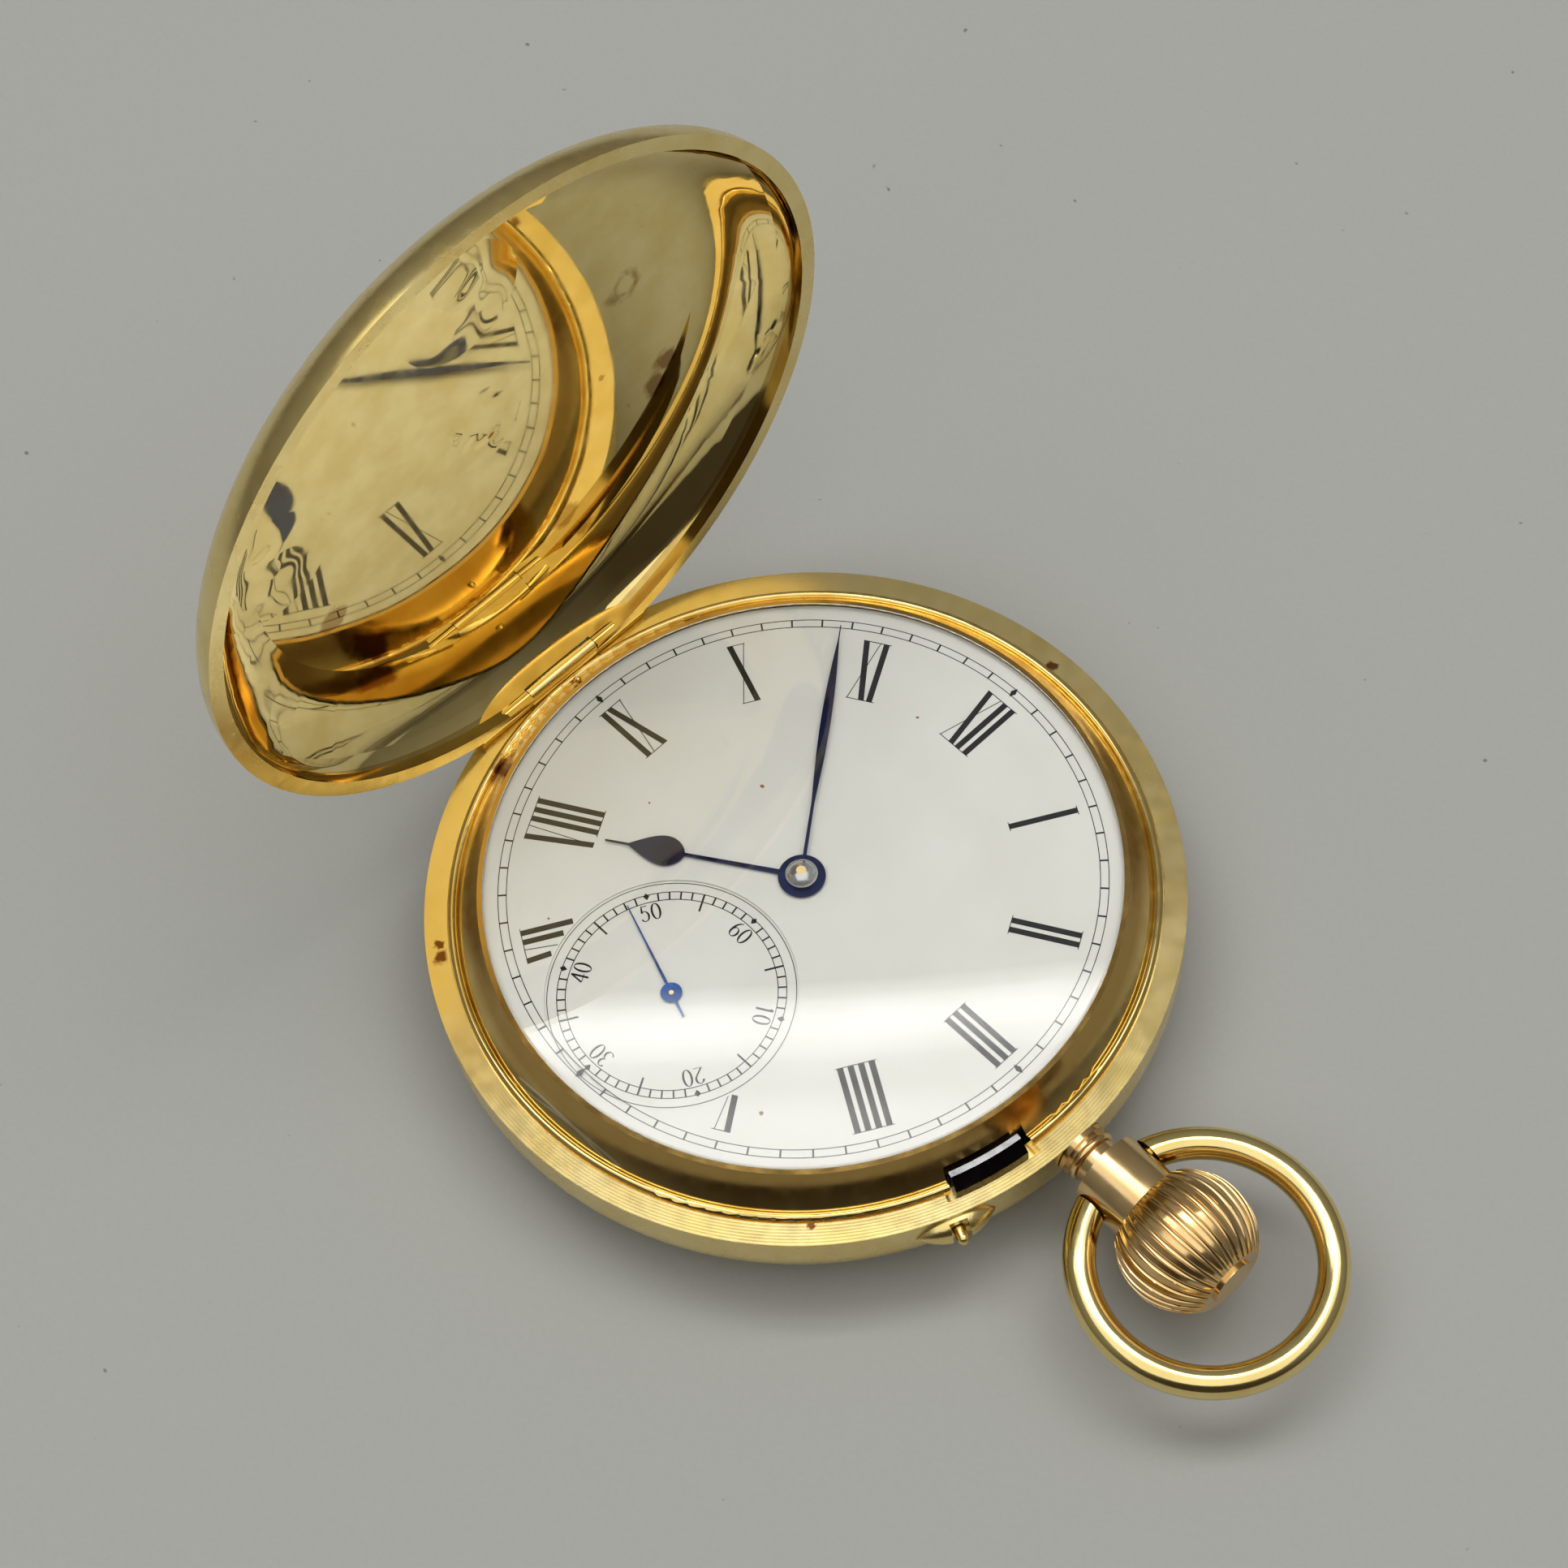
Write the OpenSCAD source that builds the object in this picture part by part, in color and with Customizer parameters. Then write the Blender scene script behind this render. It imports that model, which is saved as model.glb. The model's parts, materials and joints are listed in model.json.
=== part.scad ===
// Full hunter pocket watch with a hinged front cover, crown winding and a seconds dial.
// Origin at the centre of the flat on the back, +Z out of the dial, +X towards the crown,
// +Y towards twelve. The front cover's hinge is at -X.

/* [Case] */
// Diameter of the case; every other length follows it
case_d = 50; // [46:0.5:56]
// Angle by which the front cover stands open at rest
open_angle = 89; // [84:1:95]
// Wall of the front and back covers
cover_wall = 0.45; // [0.35:0.05:0.55]
// Radius of the hinge knuckles
knuckle_r = 0.55; // [0.5:0.01:0.58]
// Height of the crystal's dome above its edge
crystal_rise = 1.65; // [1.5:0.05:1.8]

/* [Crown and bow] */
// Diameter of the crown
crown_d = 8.9; // [8.6:0.1:9.4]
// Number of flutes on the crown, an even number
flutes = 34; // [24:2:40]
// Radius of the bow, at the middle of its wire
bow_r = 7.85; // [7.6:0.05:9]
// Thickness of the bow's wire
bow_wire = 2.1; // [1.8:0.1:2.2]
// Angle by which the bow hangs below the case's plane at rest
bow_drop = 2.7; // [0:0.1:10]
// Travel of the crown when it is pressed
press_travel = 0.8; // [0.5:0.05:0.85]

/* [Dial and hands] */
// Direction of the hour hand, clockwise from twelve
hour_angle = 237.6; // [0:0.1:360]
// Direction of the minute hand, clockwise from twelve
minute_angle = 321.9; // [0:0.1:360]
// Direction of the seconds hand, clockwise from sixty
second_angle = 289; // [0:0.1:360]
// Length of the hour hand from its centre
hour_len = 13.2; // [11.5:0.1:13.5]
// Length of the minute hand from its centre
minute_len = 19.1; // [17.5:0.1:19.2]
// Length of the seconds hand from its centre
second_len = 7; // [5.5:0.1:7.2]

/* [Clearances] */
// Radial play of the pivots, pins and sliding pieces
play = 0.04; // [0.02:0.01:0.06]
// Gap between the two covers' rims and the band
rim_gap = 0.05; // [0.03:0.01:0.08]

/* [Hidden] */
$fn = 96;

// Colours
gold = [0.80, 0.62, 0.26];
rose_gold = [0.76, 0.52, 0.27];
gilt = [0.78, 0.66, 0.38];
steel = [0.62, 0.63, 0.66];
blued = [0.07, 0.10, 0.28];
enamel = [0.93, 0.92, 0.88];
glass = [0.90, 0.94, 0.96, 0.3];
ruby = [0.62, 0.10, 0.22];

// Scale of the whole watch against a 50 mm case
u = case_d / 50;

// Levels and radii of the case
rim_r = 24.85;
corner_r = 3.1;
corner_x = rim_r - corner_r;
land_z = 8;
back_corner_z = 5.7;
seam_z = 4.6;
back_slope = 17;
back_shoulder_r = corner_x / sin(back_slope) + corner_r;
front_slope = 44;
front_corner_r = 3.4;
front_shoulder_r = 8.25;
mouth_r = rim_r - 1.1;
mouth_h = 0.8;
seam_r = rim_r - 1.35;
groove_r = rim_r - 1.5;
wall_r = groove_r - 0.75;
flange_r = wall_r - 1.6;
seat_z = 7.6;
bezel_r = groove_r - 0.1;
bezel_in_r = bezel_r - 1.65;
bead_z = land_z + 0.1;
crystal_r = bezel_in_r - 0.6;
crystal_z = 10;
lip_r = crystal_r - 0.25;
lip_z = 10.35;
pane_r = lip_r - 0.35;

// Hinges of the covers
hinge_x = -rim_r + 1.1;
front_hinge_z = 8.62;
back_hinge_z = 4.05;
chord_x = hinge_x + 0.05;
chord_wall = 0.45;
hinge_half = 7.3;
band_knuckle = [-2.73, 3.04];
back_half = 5.3;
back_tab = [1.6, 3];
pin_r = 0.25;

// Pendant, stem and bow
pend_z = 6.45;
neck_r = 1.55;
collar_r = 2.6;
pendant_x = rim_r - 0.65;
collar_x = [pendant_x + 2.8, pendant_x + 6.5];
sleeve_x = pendant_x + 4.4;
stem_r = 0.7;
stem_collar_r = 1;
stem_collar_x = wall_r - 0.6;
square_w = 0.84;
sleeve_r = 1.4;
crown_r = crown_d / 2;
crown_x = [collar_x[1] + 0.15, collar_x[1] + 7];
crown_c = collar_x[1] + 3.25;
bow_pivot_x = pendant_x + 4.05;
bow_pin_y = collar_r + 0.05;
bow_c = bow_pivot_x + sqrt(bow_r * bow_r - bow_pin_y * bow_pin_y);
bow_pin_r = 0.5;

// Setting push-piece
button_az = -21.7;
button_r = 0.42;
button_z = 6.45;
button_in_r = 19.35;
button_out_r = rim_r + 1;

// Catch
catch_az = [-20.3, -7.5];
catch_foot_az = -74;
catch_r = [wall_r - 0.65, wall_r + 0.95];
catch_foot_r = wall_r - 0.75;
lift_foot = polar(wall_r - 0.6, 102);

// Levels of the movement
plate_z = 7.3;
plate_top = 9.2;
recess_z = 8.2;
bridge_z = [3.7, 4.6];
plate_r = flange_r - 0.1;
bridge_r = plate_r - 1.4;
case_screw_r = plate_r - 0.7;
dial_top = 9.8;
hour_z = dial_top + 0.14;
minute_z = dial_top + 0.38;
hand_t = 0.15;
cap_z = minute_z + 0.22;
sink = 0.15;

// Radii and tooth counts of the train
centre_pinion_r = 1.0625;
barrel_pitch = 8.5;
centre_pitch = 8;
third_pitch = 6;
fourth_pitch = 5.5;
seconds_y = -11.58;

// Axes of the wheels, from their pitch radii
centre_p = [0, 0];
fourth_p = [0, seconds_y];
d_ct = centre_pitch * 1.125;
d_tf = third_pitch + 0.8;
third_y = -(d_ct * d_ct - d_tf * d_tf + seconds_y * seconds_y) / (-2 * seconds_y);
third_p = [sqrt(d_ct * d_ct - third_y * third_y), third_y];
barrel_p = polar(barrel_pitch + centre_pinion_r, 60);
escape_p = fourth_p + polar(fourth_pitch + 0.55, 165);
balance_p = [-10.9, -2.02];
escape_r = 3.6;
lever_dir = bearing(escape_p, balance_p);
pallet_p = escape_p + polar(escape_r / cos(30), lever_dir);
crown_wheel_m = 0.2585;
ratchet_r = 24 * crown_wheel_m;
crown_wheel_r = 17 * crown_wheel_m;
crown_wheel_p = barrel_p + polar(ratchet_r + crown_wheel_r, -44.1);
minute_p = polar(4, -15);
click_p = barrel_p + polar(8.6, 130);
click_foot = click_p + [-2.5, 2.6];
setting_p = [14, -11.8];
barrel_feet = [[16.7, 6.1], [-9, 15.6], [-16.1, 7.5]];
train_feet = [[9, -15.6], [-7.7, -16.5], [13.4, -5.8]];
pallet_foot = [-11.3, -9.6];
cock_az = 190.5;
cock_r = [plate_r - 2.55, plate_r - 1.3];
cock_screw_r = (cock_r[0] + cock_r[1]) / 2;
cock_screws = [for (s = [-1, 1]) polar(cock_screw_r, cock_az + 7 * s)];
stud_p = balance_p + polar(3.6, cock_az);

function polar(r, a) = [r * cos(a), r * sin(a)];
function bearing(a, b) = atan2(b[1] - a[1], b[0] - a[0]);

// Outline of a toothed wheel, with tooth half widths given as parts of the pitch
function toothed(n, tip_r, root_r, tip, root) = [for (i = [0:n - 1])
    each [polar(root_r, (i - root) * 360 / n), polar(tip_r, (i - tip) * 360 / n),
        polar(tip_r, (i + tip) * 360 / n), polar(root_r, (i + root) * 360 / n)]];

// Outline of a flat spiral band between two radii
function spiral(r1, r2, turns, w, steps) = concat(
    [for (i = [0:steps]) polar(r1 + (r2 - r1) * i / steps, 360 * turns * i / steps)],
    [for (i = [steps:-1:0]) polar(r1 + w + (r2 - r1) * i / steps, 360 * turns * i / steps)]);

module at(p) {
    translate([p[0], p[1], 0])
        children();
}

module disc(r, z1, z2) {
    translate([0, 0, z1])
        cylinder(r = r, h = z2 - z1);
}

module ring(r1, r2, z1, z2) {
    difference() {
        disc(r2, z1, z2);
        disc(r1, z1 - 1, z2 + 1);
    }
}

module slab(x1, x2, y1, y2, z1, z2) {
    translate([x1, y1, z1])
        cube([x2 - x1, y2 - y1, z2 - z1]);
}

// Prism from z1 to z2
module prism(z1, z2) {
    translate([0, 0, z1])
        linear_extrude(z2 - z1)
            children();
}

// Wedge between two directions, as a flat shape
module wedge(a1, a2, r = 40) {
    polygon([[0, 0], polar(r, a1), polar(r, (a1 + a2) / 2), polar(r, a2)]);
}

// Part of a ring between two directions
module arc_bar(r1, r2, z1, z2, a1, a2) {
    prism(z1, z2)
        intersection() {
            difference() {
                circle(r2);
                circle(r1);
            }
            wedge(a1, a2);
        }
}

// Flat bar with round ends between two points
module link(p, q, r) {
    translate(p)
        circle(r);
    translate(q)
        circle(r);
    translate(p)
        rotate(bearing(p, q))
            translate([0, -r])
                square([norm(q - p), 2 * r]);
}

// Places shapes on the pendant's axis, with their own Z along +X
module on_pendant(x) {
    translate([x, 0, pend_z])
        rotate([0, 90, 0])
            children();
}

// Places shapes on the push-piece's axis, with their own Z outwards
module on_button(r) {
    rotate(button_az)
        translate([r, 0, button_z])
            rotate([0, 90, 0])
                children();
}

// Bar along Y on a hinge axis
module hinge_bar(r, y1, y2, z) {
    translate([hinge_x, y2, z])
        rotate([90, 0, 0])
            cylinder(r = r, h = y2 - y1);
}

// Section of a dish, w inside the case's surface: a corner of the given radius, with its centre at
// height 0, turns into a wider shoulder where the surface has this slope, and the shoulder ends flat
module dish(w, slope, corner, shoulder) {
    cx = rim_r - corner;
    c = corner - w;
    rt = cx + c * sin(slope);
    zt = -c * cos(slope);
    flat_r = cx - (shoulder - corner) * sin(slope);
    shoulder_z = (shoulder - corner) * cos(slope);
    inner_x = max(flat_r - 2, 0);
    polygon([[0, 0], [cx, 0], [rt, zt], [0, zt]]);
    intersection() {
        translate([cx, 0])
            circle(c);
        translate([cx - c, -c])
            square([2 * c, c]);
    }
    intersection() {
        translate([flat_r, shoulder_z])
            circle(shoulder - w, $fn = 720);
        translate([inner_x, zt - 6])
            square([rt - inner_x, 6]);
    }
    if (flat_r > 0.1)
        translate([0, shoulder_z - shoulder + w])
            square([flat_r, shoulder - w - shoulder_z]);
}

// Section of the case's lower body, w inside its surface
module body_section(w) {
    translate([0, back_corner_z])
        dish(w, back_slope, corner_r, back_shoulder_r);
    translate([0, back_corner_z])
        square([rim_r - w, land_z - back_corner_z]);
}

module case_band() {
    color(gold)
        scale(u)
            difference() {
                union() {
                    rotate_extrude()
                        difference() {
                            intersection() {
                                body_section(0);
                                translate([0, seam_z])
                                    square([rim_r + 1, land_z - seam_z]);
                            }
                            square([seam_r, seam_z + 0.3]);
                            square([wall_r, 7]);
                            square([flange_r, land_z + 1]);
                            translate([0, seat_z])
                                square([groove_r, 2]);
                        }
                    // Middle knuckles of the two hinges on their feet
                    hinge_bar(knuckle_r, band_knuckle[0], band_knuckle[1], front_hinge_z);
                    slab(hinge_x - 0.45, -groove_r - 0.05, band_knuckle[0], band_knuckle[1],
                        land_z - 0.1, front_hinge_z);
                    hinge_bar(knuckle_r - 0.05, -1.5, 1.5, back_hinge_z);
                    slab(hinge_x - 0.35, -seam_r, -1.5, 1.5, back_hinge_z, seam_z + 0.1);
                }
                hinge_bar(pin_r, -8, 8, front_hinge_z);
                hinge_bar(pin_r, -8, 8, back_hinge_z);
                on_pendant(flange_r - 1)
                    cylinder(r = stem_r + 0.1, h = 6);
                on_pendant(pendant_x)
                    cylinder(r = neck_r, h = 2);
                on_pendant(stem_collar_x - press_travel - 0.1)
                    cylinder(r = stem_collar_r + 0.1, h = 0.5 + press_travel);
                on_button(flange_r - 1)
                    cylinder(r = button_r + play, h = 6);
                // Slot of the catch
                arc_bar(catch_r[0] - 0.45, catch_r[1] + 0.35, 6.95, land_z + 1,
                    catch_az[0] - 1.7, catch_az[1] + 1.7);
                // Threads of the case springs' screws
                at(polar(catch_foot_r, catch_foot_az))
                    disc(0.35, 6.5, 7.4);
                at(lift_foot)
                    disc(0.35, 6.5, 7.4);
            }
}

// A cover's section, mirrored upwards from the land
module front_section(w) {
    mirror([0, 1])
        dish(w, front_slope, front_corner_r, front_shoulder_r);
}

module front_cover() {
    y1 = band_knuckle[0] - rim_gap;
    y2 = band_knuckle[1] + rim_gap;
    color(gold)
        scale(u)
            translate([hinge_x, 0, front_hinge_z])
                rotate([0, -open_angle, 0])
                    translate([-hinge_x, 0, -front_hinge_z])
                        difference() {
                            union() {
                                difference() {
                                    translate([0, 0, land_z + rim_gap])
                                        rotate_extrude()
                                            front_section(0);
                                    slab(-30, chord_x, -30, 30, 0, 20);
                                    difference() {
                                        translate([0, 0, land_z + rim_gap])
                                            rotate_extrude()
                                                difference() {
                                                    front_section(cover_wall);
                                                    translate([mouth_r, 0])
                                                        square([2, mouth_h]);
                                                }
                                        slab(-30, chord_x + chord_wall, -30, 30, 0, 20);
                                    }
                                }
                                hinge_bar(knuckle_r, -hinge_half, y1, front_hinge_z);
                                hinge_bar(knuckle_r, y2, hinge_half, front_hinge_z);
                            }
                            hinge_bar(knuckle_r + 0.1, y1, y2, front_hinge_z);
                            slab(hinge_x - 1, chord_x + chord_wall + 0.05, y1, y2,
                                land_z - 1, front_hinge_z);
                            hinge_bar(pin_r + play, -8, 8, front_hinge_z);
                        }
}

module back_cover() {
    top = seam_z - rim_gap;
    color(gold)
        scale(u)
            difference() {
                union() {
                    difference() {
                        rotate_extrude()
                            intersection() {
                                body_section(0);
                                square([rim_r, top]);
                            }
                        slab(-30, chord_x, -30, 30, -1, 20);
                        difference() {
                            rotate_extrude()
                                difference() {
                                    intersection() {
                                        body_section(cover_wall);
                                        translate([0, cover_wall])
                                            square([rim_r, top]);
                                    }
                                    translate([mouth_r, top - 0.65])
                                        square([2, 2]);
                                }
                            slab(-30, chord_x + chord_wall, -30, 30, -1, 20);
                        }
                    }
                    hinge_bar(knuckle_r - 0.05, -back_half, -back_tab[1] - 0.1, back_hinge_z);
                    hinge_bar(knuckle_r - 0.05, back_tab[1] + 0.1, back_half, back_hinge_z);
                }
                hinge_bar(knuckle_r + 0.05, -back_tab[1] - 0.1, back_tab[1] + 0.1, back_hinge_z);
                slab(hinge_x - 1, chord_x + chord_wall + 0.1, -back_tab[1] - 0.1,
                    back_tab[1] + 0.1, back_hinge_z, seam_z + 1);
                hinge_bar(pin_r + play, -8, 8, back_hinge_z);
            }
}

module cuvette() {
    skin = cover_wall + 0.4;
    rim = rim_r - 1.45;
    bead_w = 0.4;
    color(gold)
        scale(u)
            difference() {
                union() {
                    difference() {
                        rotate_extrude()
                            difference() {
                                union() {
                                    difference() {
                                        intersection() {
                                            body_section(skin);
                                            translate([0, skin])
                                                square([rim, seam_z - skin]);
                                        }
                                        intersection() {
                                            body_section(skin + 0.25);
                                            translate([0, skin + 0.25])
                                                square([rim, seam_z]);
                                        }
                                    }
                                    translate([rim - bead_w, 4])
                                        square([bead_w, seam_z + 0.25 - 4]);
                                }
                                translate([0, 3.9])
                                    square([rim - bead_w, 1]);
                            }
                        slab(-30, hinge_x + 0.65, -30, 30, 0, 20);
                    }
                    for (s = [-1, 1])
                        translate([0, s * (back_tab[0] + back_tab[1]) / 2, 0]) {
                            hinge_bar(knuckle_r - 0.05, -0.65, 0.65, back_hinge_z);
                            slab(hinge_x, hinge_x + 0.9, -0.65, 0.65, back_hinge_z + 0.1,
                                back_hinge_z + 0.45);
                        }
                }
                hinge_bar(pin_r + play, -8, 8, back_hinge_z);
            }
}

module front_hinge_pin() {
    color(gold)
        scale(u)
            hinge_bar(pin_r, -hinge_half, hinge_half, front_hinge_z);
}

module back_hinge_pin() {
    color(gold)
        scale(u)
            hinge_bar(pin_r, -back_half, back_half, back_hinge_z);
}

module bezel() {
    bead = 0.275;
    slope_a = [bezel_r - 0.53, bead_z];
    slope_b = [lip_r + 0.35, lip_z];
    chord = norm(slope_b - slope_a);
    dir = bearing(slope_a, slope_b) - 90;
    hollow_r = 9;
    mid = (slope_a + slope_b) / 2;
    hollow_c = mid + polar(sqrt(hollow_r * hollow_r - chord * chord / 4), dir);
    color(gold)
        scale(u)
            difference() {
                rotate_extrude() {
                    difference() {
                        polygon([[bezel_in_r, seat_z], [bezel_r, seat_z], [bezel_r, bead_z],
                            slope_a, slope_b, [lip_r, lip_z], [lip_r, crystal_z + 0.2],
                            [crystal_r, crystal_z + 0.2], [crystal_r, seat_z + 1],
                            [bezel_in_r, seat_z + 0.8]]);
                        intersection() {
                            translate(hollow_c)
                                circle(hollow_r, $fn = 360);
                            translate([0, bead_z])
                                square([bezel_r, 9]);
                        }
                    }
                    translate([bezel_r - bead, bead_z])
                        circle(bead);
                }
                arc_bar(catch_r[0] + 0.05, groove_r + 0.65, seat_z - 1, bead_z + 0.95,
                    catch_az[0] - 0.6, catch_az[1] + 1.5);
            }
}

module crystal() {
    edge_z = lip_z + 0.1;
    top = edge_z + crystal_rise;
    outer_r = (lip_r * lip_r + crystal_rise * crystal_rise) / (2 * crystal_rise);
    inner_z = edge_z - 0.15;
    in_rise = top - 0.35 - inner_z;
    inner_r = (pane_r * pane_r + in_rise * in_rise) / (2 * in_rise);
    color(glass)
        scale(u)
            rotate_extrude()
                difference() {
                    union() {
                        intersection() {
                            translate([0, top - outer_r])
                                circle(outer_r, $fn = 720);
                            translate([0, edge_z])
                                square([lip_r, 10]);
                        }
                        translate([0, crystal_z])
                            square([lip_r, edge_z + 0.02 - crystal_z]);
                        translate([0, crystal_z])
                            square([crystal_r, 0.2]);
                    }
                    translate([0, inner_z + in_rise - inner_r])
                        circle(inner_r, $fn = 720);
                    square([pane_r, inner_z]);
                }
}

module pendant() {
    color(rose_gold)
        scale(u)
            difference() {
                on_pendant(pendant_x)
                    rotate_extrude()
                        difference() {
                            union() {
                                square([neck_r, 3.5]);
                                translate([0, 0.65])
                                    square([neck_r + 0.3, 0.35]);
                                translate([neck_r, 1.6])
                                    circle(0.3);
                                translate([0, collar_x[0] - pendant_x])
                                    square([collar_r, collar_x[1] - collar_x[0]]);
                            }
                            square([stem_r + 0.1, 10]);
                            translate([0, sleeve_x - pendant_x])
                                square([sleeve_r, 10]);
                            translate([-5, -5])
                                square([5, 20]);
                        }
                translate([bow_pivot_x, 4, pend_z])
                    rotate([90, 0, 0])
                        cylinder(r = bow_pin_r + play, h = 8);
            }
}

module pendant_sleeve() {
    color(steel)
        scale(u)
            on_pendant(sleeve_x)
                ring(stem_r + play, sleeve_r, 0, 2.1);
}

module crown() {
    flute_fade = 0.35;
    color(rose_gold)
        scale(u)
            difference() {
                union() {
                    intersection() {
                        translate([crown_c, 0, pend_z])
                            sphere(crown_r);
                        slab(crown_x[0], crown_x[1], -9, 9, -9, 20);
                    }
                    on_pendant(crown_x[1] - 0.1)
                        cylinder(r = 1.6, h = 0.3);
                }
                for (i = [0:flutes - 1])
                    translate([crown_c, 0, pend_z])
                        rotate([(i + 0.5) * 360 / flutes, 0, 0])
                            translate([0, -flute_fade, 0])
                                rotate([0, 0, 25])
                                    rotate_extrude(angle = 113)
                                        translate([crown_r + 0.02 + flute_fade, 0])
                                            circle(7.8 / flutes, $fn = 24);
                on_pendant(crown_x[0] - 1)
                    cylinder(r = collar_r + 0.1, h = 1.1 + press_travel);
                on_pendant(crown_x[0] - 1)
                    cylinder(r = stem_r, h = 5.5);
            }
}

module stem() {
    color(steel)
        scale(u)
            union() {
                on_pendant(17.7 + press_travel)
                    cylinder(r = stem_r, h = crown_x[0] + 4.4 - 17.7 - press_travel);
                slab(15.1, 17.8 + press_travel, -square_w / 2, square_w / 2,
                    pend_z - square_w / 2, pend_z + square_w / 2);
                on_pendant(stem_collar_x)
                    cylinder(r = stem_collar_r, h = 0.4);
            }
}

module winding_pinion() {
    hole = square_w + 2 * play;
    color(steel)
        scale(u)
            on_pendant(15.4)
                difference() {
                    union() {
                        linear_extrude(2)
                            polygon(toothed(16, 2, 1.6, 0.12, 0.3));
                        cylinder(r = 1.2, h = 2.2);
                    }
                    translate([-hole / 2, -hole / 2, -1])
                        cube([hole, hole, 5]);
                }
}

module bow() {
    color(gold)
        scale(u)
            translate([bow_pivot_x, 0, pend_z])
                rotate([0, bow_drop, 0])
                    translate([-bow_pivot_x, 0, 0]) {
                        difference() {
                            translate([bow_c, 0, 0])
                                rotate_extrude()
                                    translate([bow_r, 0])
                                        circle(bow_wire / 2, $fn = 48);
                            slab(20, bow_c, -collar_r - 0.05, collar_r + 0.05, -3, 3);
                        }
                        for (s = [-1, 1])
                            translate([bow_pivot_x, s * (collar_r - 0.6), 0])
                                rotate([-90 * s, 0, 0])
                                    cylinder(r = bow_pin_r, h = 0.9);
                    }
}

module button_guard() {
    half = 2.7;
    high = 1.15;
    arc = (half * half + high * high) / (2 * high);
    color(gold)
        scale(u)
            difference() {
                rotate(button_az)
                    translate([rim_r - 0.1, 0, button_z])
                        rotate([90, 0, 0])
                            rotate_extrude()
                                intersection() {
                                    translate([high - arc, 0])
                                        circle(arc);
                                    translate([0, -half])
                                        square([high, 2 * half]);
                                }
                cylinder(r = rim_r, h = 12, $fn = 720);
                on_button(flange_r - 1)
                    cylinder(r = button_r + 0.2, h = 8);
                rotate(button_az)
                    slab(rim_r + 0.25, rim_r + 2.15, -0.62, 0.62, 4, 9);
            }
}

module set_button() {
    color(gold)
        scale(u)
            union() {
                on_button(button_in_r)
                    cylinder(r = button_r, h = button_out_r - button_in_r);
                on_button(button_out_r)
                    sphere(button_r, $fn = 32);
                on_button(wall_r - 0.7)
                    cylinder(r = button_r + 0.08, h = 0.35);
            }
}

module setting_lever() {
    color(steel)
        scale(u)
            difference() {
                prism(6.15, 6.75) {
                    translate(setting_p)
                        circle(1.1);
                    link(setting_p, [18.6, -5], 0.5);
                }
                at(setting_p)
                    disc(0.4 + play, 6, 7);
            }
}

module lock_spring() {
    a1 = catch_az[0];
    a2 = catch_az[1];
    back = wall_r - 0.2;
    arm_x = wall_r - 1.55;
    nose_z = land_z + 0.9;
    color(blued)
        scale(u)
            difference() {
                union() {
                    arc_bar(catch_r[0], back, 4.95, 5.75, catch_foot_az, a1 + 2);
                    arc_bar(back - 1.1, back, 4.95, 6.97, catch_foot_az - 3, catch_foot_az + 3);
                    arc_bar(catch_r[0], back, 4.95, 7.4, a1, a2);
                    arc_bar(catch_r[0], catch_r[1], 7, 7.4, a1, a2);
                    // Nose whose bevel the cover's rim rides over
                    rotate(a1)
                        rotate_extrude(angle = a2 - a1)
                            polygon([[back, 7.3], [catch_r[1], 7.3], [catch_r[1], 8.1],
                                [back + 0.4, nose_z], [back, nose_z]]);
                    // Arm that the stem's collar pushes
                    slab(arm_x, arm_x + 1.05, -3.2, -2.6, 6, 6.8);
                    slab(arm_x, arm_x + 0.4, -3.2, -0.9, 6, 6.8);
                }
                at(polar(catch_foot_r, catch_foot_az))
                    disc(0.35 + play, 4, 8);
            }
}

module lift_spring() {
    back = wall_r - 0.25;
    color(blued)
        scale(u)
            difference() {
                union() {
                    arc_bar(back - 0.4, back, 4.95, 5.85, 102, 168);
                    arc_bar(back - 0.85, back + 0.05, 4.95, 7, 99, 105);
                    arc_bar(back - 0.4, back, 4.95, 6.9, 160, 168);
                }
                at(lift_foot)
                    disc(0.35, 4, 8);
            }
}

module case_screws() {
    color(steel)
        scale(u)
            union() {
                // Two that hold the movement by the band's flange
                for (a = [60, 236])
                    at(polar(case_screw_r, a))
                        slotted_screw(0.45, 1.3, 6.6, 7, 8.8);
                // Two that hold the case springs
                at(polar(catch_foot_r, catch_foot_az))
                    slotted_screw(0.35, 0.6, 4.65, 4.93, 7.4);
                at(lift_foot)
                    slotted_screw(0.35, 0.55, 4.65, 4.95, 7.4);
            }
}

// Screw with its slotted head at the low end
module slotted_screw(r, head_r, z1, z2, z3) {
    difference() {
        union() {
            disc(head_r, z1, z2);
            disc(r, z1 + 0.1, z3);
        }
        slab(-0.12, 0.12, -head_r, head_r, z1 - 1, z1 + 0.12);
    }
}

module dial() {
    color(enamel)
        scale(u)
            difference() {
                union() {
                    disc(plate_r, plate_top, dial_top);
                    for (a = [45, 165, 285])
                        at(polar(17.5, a))
                            disc(0.4, 8.6, plate_top);
                }
                at(fourth_p)
                    disc(8.15, dial_top - sink, dial_top + 1);
                at(fourth_p)
                    disc(0.45, 9, 11);
                disc(1.1, 9, 11);
            }
}

// Outline of a pointed leaf along X, blunter at its start the lower the bias is
function leaf(x1, x2, half, bias, steps = 28) = [for (i = [0:2 * steps - 1])
    let (t = 1 - abs(1 - i / steps))
        [x1 + (x2 - x1) * t, (i < steps ? -half : half) * sin(180 * pow(t, bias))]];

// Tapered bar along X, with its half widths
module taper(x1, x2, half1, half2) {
    polygon([[x1, -half1], [x2, -half2], [x2, half2], [x1, half1]]);
}

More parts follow.
